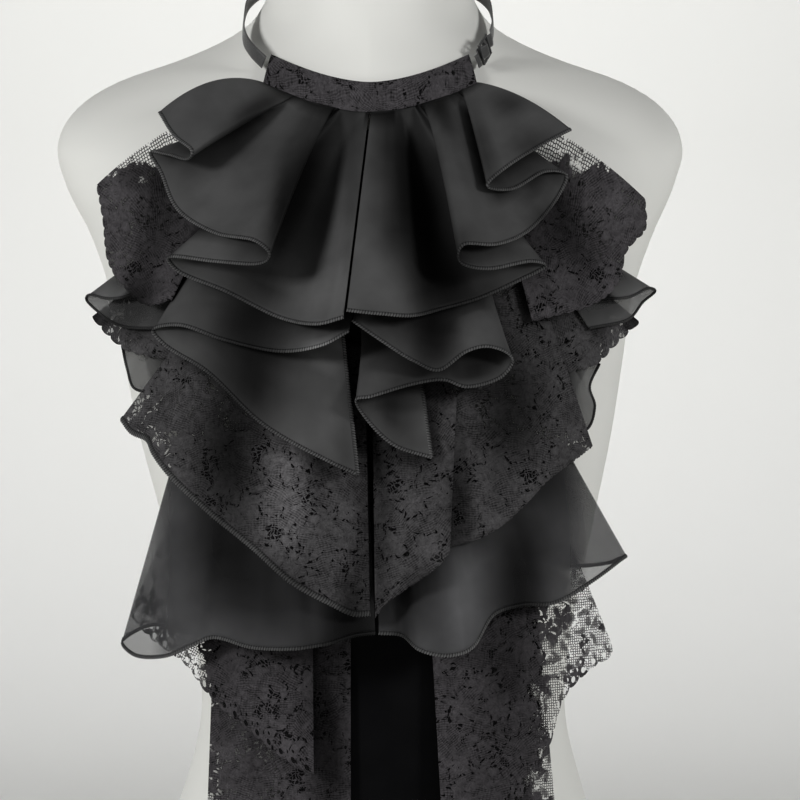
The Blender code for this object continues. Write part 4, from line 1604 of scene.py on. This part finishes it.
def flounces() -> list[Flounce]:
    """All the cloth pieces, from the top tier down."""
    return [
        Flounce(
            name="upper_flounce_left", cloth=Cloth.SATIN,
            edge=Edge.OVERLOCKED, cut=(0.253, 0.137, 0.0259),
            seam=(
                (-62.5, 514.1, -14.97), (-47.06, 507.6, -8.37), (-31.62, 502.44, -4.97),
                (-16.19, 498.81, -3.17), (-0.75, 497.11, -2.48),
            ),
            hem=(
                (0.00, -122, 496, 20, 9), (0.13, -112, 482, 32, 5), (0.21, -102, 474, 39, 2),
                (0.29, -105, 469, 33), (0.33, -117, 472, 24), (0.37, -127, 473, 19),
                (0.41, -121, 462, 17), (0.45, -111, 441, 22), (0.50, -88, 427, 33),
                (0.54, -65, 423, 46), (0.57, -57, 417, 49), (0.66, -63, 410, 43),
                (0.70, -88, 411, 36), (0.73, -115, 413, 30), (0.76, -110, 405, 22, 0, 0.3),
                (0.80, -83, 394, 20, 0, 0.9), (0.86, -51, 379, 21, 0, 1.4),
                (0.92, -31, 376, 35, 0, 0.7), (1.00, -15, 380, 40),
            ),
            opening=0.6, across=300, down=40, ripple=0.9,
            creases=(
                Crease(0.49, 0.48, 0.35, 1, 0.018, 1), Crease(0.93, 0.92, 0.3, 1, 0.03, -1),
                Crease(0.97, 0.965, 0.4, 1, 0.012, 0.8),
            ),
            # Painted shade over folds and painted highlight on crowns, in millimetres.
            painted_shading=(
                PaintedShading(-40, 453, 15, 50, -16, 0.93), PaintedShading(-14, 496, 19, 7, 0, 0.45),
                PaintedShading(-66, 497, 7, 24, -52, 0.75), PaintedShading(-51, 439, 5, 31, -6, 0.6),
                PaintedShading(-28, 394, 15, 17, 0, -0.55), PaintedShading(-68, 395, 22, 10, -20, 0.86),
                PaintedShading(-19, 432, 5, 30, 0, -0.35), PaintedShading(-96, 460, 15, 13, 0, -0.3),
                PaintedShading(-94, 407, 13, 5, 0, -0.35), PaintedShading(-10, 492, 5, 17, -5, 0.4),
            ),
        ),
        Flounce(
            name="upper_flounce_right", cloth=Cloth.SATIN,
            edge=Edge.OVERLOCKED, cut=(0.251, 0.151, 0.0266),
            seam=(
                (0.75, 497.11, -2.48), (16.19, 498.81, -3.17), (31.62, 502.44, -4.97),
                (47.06, 507.6, -8.37), (62.5, 514.1, -14.97),
            ),
            hem=(
                (0.00, -13, 384, 40), (0.15, 7, 382, 43), (0.25, 25, 381, 38, 0, 0.3),
                (0.30, 40, 384, 25, 0, 1.2), (0.34, 62, 390, 23, 0, 1.4),
                (0.38, 85, 400, 25, 0, 0.8), (0.41, 100, 408, 28), (0.45, 91, 411, 34),
                (0.47, 68, 407, 38), (0.51, 52, 410, 43), (0.60, 53, 421, 49),
                (0.65, 72, 421, 44), (0.70, 91, 429, 31), (0.74, 109, 449, 17),
                (0.77, 113, 460, 17), (0.80, 101, 462, 21), (0.83, 81, 452, 30),
                (0.86, 67, 453, 37), (0.94, 77, 464, 37, 1), (0.97, 100, 478, 29, 3),
                (1.00, 116, 486, 22, 4.5),
            ),
            opening=0.6, across=300, down=40, ripple=0.9,
            creases=(
                Crease(0.06, 0.07, 0.35, 1, 0.03, -1), Crease(0.55, 0.56, 0.3, 1, 0.015, 0.8),
            ),
            painted_shading=(
                PaintedShading(31, 432, 15, 54, 3, 0.9), PaintedShading(44, 407, 13, 26, -10, 0.75),
                PaintedShading(24, 499, 25, 7, 0, 0.45), PaintedShading(14, 474, 11, 32, 12, 0.75),
                PaintedShading(15, 433, 10, 23, 0, 0.72), PaintedShading(47, 394, 18, 16, 0, 0.86),
                PaintedShading(69, 389, 19, 10, 10, 0.6), PaintedShading(41, 496, 6, 15, 25, 0.75),
                PaintedShading(65, 476, 6, 24, 14, 0.6), PaintedShading(80, 501, 11, 7, 0, 0.55),
                PaintedShading(93, 477, 17, 9, 0, 0.5), PaintedShading(102, 433, 10, 14, 20, 0.7),
                PaintedShading(3, 457, 6, 34, 0, 0.3),
            ),
        ),
        Flounce(
            name="lower_flounce_left", cloth=Cloth.SATIN,
            edge=Edge.OVERLOCKED, cut=(0.271, 0.088, 0.0139),
            seam=((-17, 382, 2), (-57, 393, 2), (-100, 410, 2.5), (-48, 415, 4), (-3, 411, 5)),
            hem=(
                (0.00, -7, 291, 24), (0.12, -23, 298, 24), (0.24, -60, 318, 20),
                (0.36, -94, 348, 13), (0.44, -118, 362, 10), (0.50, -125, 371, 13),
                (0.56, -110, 374, 17), (0.66, -83, 366, 19), (0.78, -51, 360, 21),
                (0.90, -27, 364, 29), (1.00, -12, 372, 32),
            ),
            opening=1.0, across=240, down=36, ripple=0.9, sides=(Side.START, Side.HEM),
            creases=(Crease(0.3, 0.28, 0.3, 1, 0.05, 1.2), Crease(0.12, 0.1, 0.4, 1, 0.03, -1)),
            painted_shading=(
                PaintedShading(-68, 377, 28, 19, 0, 0.93), PaintedShading(-69, 345, 26, 32, 0, 0.95),
                PaintedShading(-23, 360, 17, 7, 0, -2.5), PaintedShading(-14, 297, 7, 17, 0, 0.35),
                PaintedShading(-91, 350, 17, 9, 0, 0.3),
            ),
        ),
        Flounce(
            name="lower_flounce_right", cloth=Cloth.SATIN,
            edge=Edge.OVERLOCKED, cut=(0.248, 0.078, 0.0122),
            seam=(
                (3, 413, 5), (20, 414, 5), (35, 414, 4.5), (53, 412, 4), (66, 405, 3.5),
                (62, 394, 3), (31, 385, 2.5), (-5, 374, 2), (26, 366, 1),
            ),
            hem=(
                (0.00, -10, 378, 35), (0.12, 6, 367, 36), (0.24, 25, 355, 33),
                (0.33, 39, 350, 31), (0.40, 54, 360, 31), (0.48, 67, 363, 33),
                (0.54, 78, 359, 31), (0.59, 81, 354, 29), (0.64, 74, 345, 25),
                (0.69, 55, 340, 26), (0.74, 42, 344, 24), (0.80, 25, 342, 25),
                (0.87, 0, 335, 29), (0.90, -8, 333, 26), (0.93, -2, 322, 22),
                (0.97, 14, 307, 22), (1.00, 35, 300, 22),
            ),
            opening=1.2, across=260, down=36, ripple=0.9, sides=(Side.HEM, Side.END),
            creases=(Crease(0.18, 0.2, 0.3, 1, 0.03, -1),),
            painted_shading=(
                PaintedShading(34, 375, 15, 30, 0, 0.93), PaintedShading(20, 343, 11, 8, 20, 0.4),
                PaintedShading(60, 349, 11, 7, 15, 0.75), PaintedShading(12, 326, 8, 11, 0, 0.65),
                PaintedShading(40, 364, 11, 11, 0, 0.5), PaintedShading(22, 316, 8, 15, 0, 0.3),
            ),
        ),
        Flounce(
            name="side_lace_upper_left", cloth=Cloth.SIDE_LACE,
            edge=Edge.SCALLOPED, cut=(0.136, 0.075, 0.0060),
            seam=((-68, 504, -4), (-75, 492, -4), (-78, 477, -3.5), (-76, 466, -3)),
            hem=(
                (0.00, -159, 454, 12, 9), (0.25, -155, 434, 15, 3), (0.50, -152, 410, 12),
                (0.72, -143, 396, 12), (0.88, -129, 385, 15), (1.00, -114, 388, 11),
            ),
            opening=0.7, across=240, down=30, ripple=1.4, scallop_mm=6.5, scallop_depth=1.3,
            painted_shading=(
                PaintedShading(-132, 397, 10, 22, 0, 0.72), PaintedShading(-123, 433, 11, 24, 0, 0.6),
                PaintedShading(-129, 458, 15, 10, 0, 0.5),
            ),
        ),
        Flounce(
            name="side_lace_upper_right", cloth=Cloth.SIDE_LACE,
            edge=Edge.SCALLOPED, cut=(0.134, 0.087, 0.0071),
            seam=((65, 501, -4), (72, 488, -4), (75, 472, -3.5), (74, 448, -3)),
            hem=(
                (0.00, 160, 446, 12, 9), (0.20, 160, 429, 15, 3), (0.42, 149, 416, 12),
                (0.62, 144, 398, 10), (0.82, 130, 386, 13), (1.00, 93, 376, 10),
            ),
            opening=0.7, across=240, down=30, ripple=1.4, scallop_mm=6.5, scallop_depth=1.3,
            painted_shading=(PaintedShading(109, 433, 14, 19, 0, 0.7), PaintedShading(122, 414, 10, 13, 0, 0.6)),
        ),
        Flounce(
            name="side_chiffon_upper_left", cloth=Cloth.SOFT,
            edge=Edge.ROLLED, cut=(0.095, 0.060, 0.0044),
            seam=((-95, 451, 0.5), (-95, 440, -1), (-95, 428, -2)),
            hem=(
                (0.00, -124, 394, 9), (0.30, -152, 388, 8), (0.44, -164, 390, 6),
                (0.52, -166, 387, 3), (0.60, -159, 380, 0.5), (0.80, -145, 372, 0),
                (1.00, -121, 371, 0),
            ),
            opening=1.0, across=140, down=26, ripple=0.6,
            painted_shading=(PaintedShading(-140, 381, 14, 8, 0, 0.7),),
        ),
        Flounce(
            name="side_chiffon_upper_right", cloth=Cloth.SOFT,
            edge=Edge.ROLLED, cut=(0.087, 0.076, 0.0047),
            seam=((89, 451, 0.5), (89, 440, -1), (89, 428, -2)),
            hem=(
                (0.00, 124, 389, 9), (0.28, 151, 389, 8), (0.44, 163, 394, 6),
                (0.52, 167, 392, 3), (0.60, 160, 386, 0.5), (0.80, 151, 376, 0),
                (1.00, 127, 371, 0),
            ),
            opening=1.0, across=140, down=26, ripple=0.6,
        ),
        Flounce(
            name="side_lace_lower_left", cloth=Cloth.LACE,
            edge=Edge.SCALLOPED, cut=(0.082, 0.050, 0.0027),
            seam=((-99, 416, -4), (-99, 409, -4), (-99, 400, -4)),
            hem=(
                (0.00, -163, 377, -4, 3), (0.30, -154, 367, -4), (0.55, -142, 358, -3.5),
                (0.80, -122, 354, -3.5), (1.00, -104, 358, -4),
            ),
            opening=1.0, across=200, down=22, ripple=0.4,
            painted_shading=(PaintedShading(-144, 375, 11, 8, 0, 0.5),),
        ),
        Flounce(
            name="side_lace_lower_right", cloth=Cloth.LACE,
            edge=Edge.SCALLOPED, cut=(0.081, 0.055, 0.0027),
            seam=((96, 416, -4), (97, 409, -4), (97, 400, -4)),
            hem=(
                (0.00, 158, 374, -4, 3), (0.28, 141, 359, -4), (0.50, 133, 351, -3.5),
                (0.78, 116, 346, -3.5), (1.00, 102, 349, -4),
            ),
            opening=1.0, across=200, down=22, ripple=0.4,
        ),
        Flounce(
            name="side_chiffon_lower_left", cloth=Cloth.SOFT,
            edge=Edge.ROLLED, cut=(0.072, 0.045, 0.0023),
            seam=((-95, 394, -5), (-95, 385, -5), (-91, 377, -5)),
            hem=(
                (0.00, -145, 360, -9), (0.30, -142, 347, -8), (0.52, -138, 336, -7),
                (0.64, -132, 334, -6.5), (0.82, -119, 335, -6), (1.00, -101, 339, -5.5),
            ),
            opening=1.0, across=120, down=22, ripple=0.5,
        ),
        Flounce(
            name="side_chiffon_lower_right", cloth=Cloth.SOFT,
            edge=Edge.ROLLED, cut=(0.086, 0.052, 0.0029),
            seam=((91, 394, -5), (90, 385, -5), (86, 377, -5)),
            hem=(
                (0.00, 134, 350, -9), (0.20, 128, 337, -8), (0.42, 131, 325, -7),
                (0.62, 126, 312, -6.5), (0.80, 110, 312, -6), (1.00, 92, 319, -5.5),
            ),
            opening=1.0, across=120, down=22, ripple=0.5,
        ),
        Flounce(
            name="lace_point_left", cloth=Cloth.LACE,
            edge=Edge.OVERLOCKED, cut=(0.203, 0.131, 0.0177),
            seam=((-3, 363, -2), (-40, 372, -1.5), (-72, 389, -1), (-93, 388, -1)),
            hem=(
                (0.00, 0, 212, 26), (0.08, -9, 212, 29), (0.18, -20, 217, 32),
                (0.33, -45, 231, 34), (0.46, -68, 250, 28), (0.59, -92, 268, 24),
                (0.72, -116, 289, 21), (0.80, -125, 300, 17), (0.87, -129, 307, 10),
                (0.95, -139, 311, 5), (1.00, -145, 318, 1),
            ),
            opening=1.0, across=260, down=40, ripple=1.0, overlock_half_mm=1.8,
            creases=(
                Crease(0.3, 0.27, 0.25, 1, 0.04, 1.4), Crease(0.18, 0.17, 0.3, 1, 0.03, -1.4),
                Crease(0.47, 0.44, 0.3, 1, 0.03, 1),
            ),
            painted_shading=(
                PaintedShading(-81, 303, 22, 47, 0, 0.93), PaintedShading(-48, 281, 15, 32, 0, -1),
                PaintedShading(-30, 290, 7, 17, 0, 0.45), PaintedShading(-11, 218, 9, 23, 0, 0.8),
                PaintedShading(-48, 233, 21, 10, -35, 0.6), PaintedShading(0, 265, 9, 46, 0, 0.6),
            ),
        ),
        Flounce(
            name="lace_point_right", cloth=Cloth.LACE, edge=Edge.RAW, cut=(0.197, 0.138, 0.0186),
            seam=(
                (94, 405, -0.5), (79, 404, 0), (63, 394, -0.5), (40, 374, -1.5), (1, 363, -2.5),
            ),
            hem=(
                (0.00, 129, 303, 3), (0.07, 120, 297, 9), (0.16, 102, 285, 18),
                (0.25, 81, 265, 22), (0.35, 65, 255, 24), (0.45, 43, 249, 23),
                (0.50, 33, 247, 26), (0.59, 38, 245, 31), (0.64, 45, 248, 35),
                (0.69, 41, 242, 36), (0.80, 24, 229, 34), (0.91, 10, 219, 30),
                (1.00, 3, 210, 26),
            ),
            opening=1.2, across=300, down=40, ripple=1.0,
            creases=(
                Crease(0.78, 0.8, 0.3, 1, 0.03, 1.2), Crease(0.3, 0.32, 0.3, 1, 0.03, -1.2),
                Crease(0.2, 0.22, 0.3, 1, 0.02, 1),
            ),
            painted_shading=(
                PaintedShading(81, 329, 21, 36, 0, 0.82), PaintedShading(50, 275, 8, 25, 0, 0.6),
                PaintedShading(6, 276, 8, 51, 0, 0.6), PaintedShading(28, 224, 10, 14, 0, 0.6),
                PaintedShading(17, 310, 10, 15, 0, 0.55), PaintedShading(31, 304, 17, 23, 0, 0.25),
                PaintedShading(74, 309, 16, 17, 0, 0.3), PaintedShading(34, 344, 11, 14, 0, 0.4),
            ),
        ),
        Flounce(
            name="sheer_flounce_left", cloth=Cloth.SHEER,
            edge=Edge.OVERLOCKED, cut=(0.207, 0.130, 0.0214),
            seam=(
                (-93, 281, 0.5), (-111, 304, 0.5), (-69, 316, 1), (-33, 318, 1), (-2, 314, 0.5),
            ),
            hem=(
                (0.00, -95, 195, 8), (0.07, -109, 197, 10), (0.13, -124, 200, 9),
                (0.18, -137, 195, 10), (0.22, -144, 189, 14), (0.27, -136, 183, 22),
                (0.34, -118, 184, 27), (0.41, -102, 191, 26), (0.48, -90, 196, 22),
                (0.58, -68, 192, 27), (0.70, -45, 192, 31), (0.82, -24, 195, 28),
                (0.91, -9, 199, 22), (1.00, 3, 200, 17),
            ),
            opening=1.0, across=280, down=34, ripple=0.9,
            creases=(
                Crease(0.44, 0.46, 0.3, 1, 0.03, -1.2), Crease(0.64, 0.66, 0.3, 1, 0.03, 1.2),
                Crease(0.78, 0.8, 0.5, 1, 0.02, -1),
            ),
            painted_shading=(
                PaintedShading(-79, 243, 26, 28, 0, 0.95), PaintedShading(-89, 269, 15, 28, 0, 0.5),
                PaintedShading(-62, 222, 26, 15, 0, 0.75), PaintedShading(-11, 205, 22, 17, 0, 0.93),
                PaintedShading(-46, 206, 31, 10, 0, 0.55), PaintedShading(-34, 226, 11, 7, 0, -0.5),
            ),
        ),
        Flounce(
            name="sheer_flounce_right", cloth=Cloth.SHEER,
            edge=Edge.OVERLOCKED, cut=(0.196, 0.133, 0.0182),
            seam=((1, 313, 0.5), (29, 315, 1), (68, 316, 1), (114, 301, 0.5), (89, 278, 0.5)),
            hem=(
                (0.00, 5, 200, 17), (0.08, 18, 199, 20), (0.15, 28, 192, 32),
                (0.24, 45, 189, 38), (0.32, 58, 193, 34), (0.40, 71, 210, 20),
                (0.46, 86, 214, 17), (0.54, 106, 215, 21), (0.62, 129, 227, 23),
                (0.68, 145, 237, 19), (0.73, 149, 239, 14), (0.82, 139, 235, 8),
                (0.91, 118, 234, 5), (1.00, 98, 238, 4),
            ),
            opening=1.0, across=280, down=34, ripple=0.9,
            creases=(Crease(0.28, 0.28, 0.3, 1, 0.02, 1), Crease(0.5, 0.5, 0.3, 1, 0.02, -1)),
            painted_shading=(
                PaintedShading(86, 226, 16, 33, 0, 0.93), PaintedShading(54, 218, 11, 25, 0, -1),
                PaintedShading(92, 251, 21, 15, 0, 0.5), PaintedShading(20, 210, 11, 11, 0, 0.7),
                PaintedShading(74, 195, 6, 11, 0, 0.4), PaintedShading(106, 280, 16, 14, 0, 0.6),
                PaintedShading(34, 224, 8, 11, 0, 0.3),
            ),
        ),
        Flounce(
            name="lace_cascade_left", cloth=Cloth.OPEN_LACE,
            edge=Edge.SCALLOPED, cut=(0.168, 0.107, 0.0111),
            seam=(
                (-98, 299, -2), (-89, 273, -1.5), (-75, 256, -1), (-57, 240, -0.5),
                (-33, 232, 0),
            ),
            hem=(
                (0.00, -140, 204, 0, 2), (0.18, -127, 191, 2), (0.34, -107, 178, 4),
                (0.50, -93, 161, 6), (0.68, -68, 141, 12), (0.85, -44, 124, 16),
                (1.00, -32, 118, 17),
            ),
            opening=1.0, across=320, down=40, ripple=1.0,
            creases=(Crease(0.5, 0.55, 0.3, 1, 0.04, 1),),
            painted_shading=(PaintedShading(-27, 167, 13, 34, 0, 0.6),),
        ),
        Flounce(
            name="lace_cascade_right", cloth=Cloth.OPEN_LACE,
            edge=Edge.SCALLOPED, cut=(0.228, 0.114, 0.0143),
            seam=((34, 217, 0), (57, 231, -0.5), (78, 248, -1), (86, 273, -1.5), (95, 299, -2)),
            hem=(
                (0.00, 43, 58, 9), (0.20, 66, 81, 16), (0.38, 87, 102, 15), (0.56, 103, 130, 9),
                (0.72, 113, 159, 6), (0.84, 129, 174, 4), (0.93, 141, 182, 2),
                (1.00, 136, 199, 0),
            ),
            opening=1.0, across=320, down=44, ripple=1.0,
            creases=(Crease(0.4, 0.38, 0.3, 1, 0.04, 1),),
            painted_shading=(PaintedShading(79, 183, 15, 32, 0, 0.55), PaintedShading(74, 132, 23, 46, 0, 0.3)),
        ),
        Flounce(
            name="lower_panel_left", cloth=Cloth.OPEN_LACE,
            edge=Edge.SCALLOPED, cut=(0.162, 0.089, 0.0136),
            seam=((-89, 224, -2), (-52, 222, -2), (-11, 220, -2)),
            hem=(
                (0.00, -95, 66, 0), (0.22, -76, 62, 4), (0.45, -55, 60, 1), (0.70, -33, 61, 4),
                (1.00, -11, 63, 0.5),
            ),
            opening=1.0, across=160, down=60, ripple=0.8,
            creases=(Crease(0.3, 0.3, 0.2, 1, 0.06, 1), Crease(0.7, 0.72, 0.2, 1, 0.05, -1)),
            painted_shading=(PaintedShading(-23, 139, 14, 63, 0, 0.7),),
        ),
        Flounce(
            name="lower_panel_right", cloth=Cloth.OPEN_LACE,
            edge=Edge.SCALLOPED, cut=(0.164, 0.075, 0.0108),
            seam=((40, 220, -2), (69, 222, -2), (95, 224, -2)),
            hem=(
                (0.00, 41, 63, 0.5), (0.28, 60, 60, 4), (0.52, 78, 59, 1), (0.78, 95, 60, 4),
                (1.00, 110, 64, 0),
            ),
            opening=1.0, across=160, down=60, ripple=0.8,
            creases=(Crease(0.4, 0.42, 0.2, 1, 0.06, 1.2),),
        ),
    ]


@dataclass(frozen=True)
class Softbox:
    """Square soft lamp: where it stands and what it faces in metres, its side and its watts.

    spread is the full angle of its beam in degrees; a small one keeps the light off what
    stands beside the beam.
    """

    name: str
    place: tuple[float, float, float]
    aim: tuple[float, float, float]
    size: float
    power: float
    spread: float = 180.0

    def make(self) -> None:
        """Adds the lamp."""
        data = bpy.data.lights.new(self.name, "AREA")
        data.energy = self.power
        data.size = self.size
        data.spread = math.radians(self.spread)
        made = add_object(self.name, data)
        made.location = self.place
        facing = Vector(self.aim) - Vector(self.place)
        made.rotation_euler = facing.to_track_quat("-Z", "Y").to_euler()


@dataclass
class Studio:
    """Pale sweep painted darker higher up as shade, soft studio lights and the camera.

    air is the strength of the faint light from all round, and far_wall how much brighter the
    room's wall is where it is seen beyond the sweep.
    """

    boxes: tuple[Softbox, ...] = (
        Softbox("key", (-1.8, -1.55, 1.1), (0, -0.1, 0.35), 0.5, 38),
        Softbox("fill", (1.8, -1.45, 1.1), (0, -0.1, 0.35), 0.5, 27),
        Softbox("backdrop_light", (0.0, 0.9, 2.0), (0, 2.2, 0.35), 1.2, 9.4, 95),
    )
    air: float = 0.08
    far_wall: float = 0.6
    target: Vector = field(default_factory=lambda: Vector((0.0, -0.12, 0.332)))
    distance: float = 2.4
    elevation: float = 3.0
    half_view: float = 0.228
    shift: float = 0.0375

    def camera(self) -> None:
        """Places the camera in front, a little above the middle of the collar."""
        data = bpy.data.cameras.new("view")
        data.sensor_width = 36.0
        data.lens = data.sensor_width / 2 * self.distance / self.half_view
        data.shift_x = self.shift
        made = add_object("view", data)
        tilt = math.radians(self.elevation)
        back = Vector((0.0, -math.cos(tilt), math.sin(tilt)))
        made.location = self.target + back * self.distance
        made.rotation_euler = (-back).to_track_quat("-Z", "Y").to_euler()
        bpy.context.scene.camera = made

    def sweep(self) -> None:
        """Builds the floor that curves up into the backdrop; from its rear it isn't seen."""
        mesh = new_grid(8, 60)
        length, ahead, start, radius = 6.0, 2.5, 3.2, 0.9
        for vertex in mesh.verts:
            way = (vertex.co.y + 0.5) * length
            y, z = way - ahead, 0.0
            if way > start:
                turn = min((way - start) / radius, math.pi / 2)
                y = start - ahead + radius * math.sin(turn)
                z = radius * (1 - math.cos(turn)) + max(way - start - radius * math.pi / 2, 0)
            vertex.co = Vector((vertex.co.x * 8.0, y, z - 0.0005))
        made = new_object("studio_sweep", mesh)
        paper, tree = new_material("paper_sweep_painted_shade")
        place = add_node(tree, "TexCoord").outputs["Object"]
        axes = add_node(tree, "SeparateXYZ", [place])
        # Painted shade: the paper goes from #e8e8e6 on the floor to the darker #d6d6d3 half a
        # metre up.
        up = add_node(tree, "MapRange", [axes.outputs["Z"], 0.0, 0.5])
        tint = add_node(
            tree, "Mix",
            {"Factor": up, "A": linear_colour("#e8e8e6"), "B": linear_colour("#d6d6d3")},
            data_type="RGBA",
        )
        shader = add_node(
            tree, "BsdfPrincipled",
            {"Base Color": tint.outputs["Result"], "Roughness": 0.9,
             "Alpha": front_side(tree)},
        )
        add_node(tree, "OutputMaterial", {"Surface": shader})
        made.data.materials.append(paper)

    def make(self) -> None:
        """Builds the studio."""
        self.camera()
        self.sweep()
        for box in self.boxes:
            box.make()
        world = bpy.data.worlds.new("studio_air")
        world.use_nodes = True
        world.node_tree.nodes.clear()
        seen = add_node(world.node_tree, "LightPath").outputs["Is Camera Ray"]
        strength = add_node(
            world.node_tree, "Math", [seen, self.far_wall, self.air], operation="MULTIPLY_ADD"
        )
        air = add_node(
            world.node_tree, "Background",
            {"Color": linear_colour("#f4f5f6"), "Strength": strength},
        )
        add_node(world.node_tree, "OutputWorld", {"Surface": air})
        scene = bpy.context.scene
        scene.world = world
        scene.view_settings.view_transform = "Standard"
        scene.cycles.transparent_max_bounces = 24


def main() -> None:
    """Builds the form, the collar and the studio, and reports each piece."""
    logging.basicConfig(level=logging.INFO, format="%(message)s")
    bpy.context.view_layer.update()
    Studio().make()
    form = DressForm()
    shell = form.make(PaintedForm().make())
    band = Neckband(form).make(Lace("band_lace", "#3c3a3c", 0.0, 0.0).make())
    Strap().make(Ribbon("satin_ribbon", "#404040").make(), MouldedPlastic().make())
    # The panel is black crepe; its colour is painted far darker than the other black cloth, as
    # the deep shade in the gap down the middle.
    crepe = Chiffon("black_crepe_in_painted_shade", "#0c0c0d", 0.8, 0.0, gloss=0.02, shaded=False)
    backing = BackingPanel().make(crepe.make())
    Collar(flounces(), [shell, band, backing]).make()


if __name__ == "__main__":
    main()
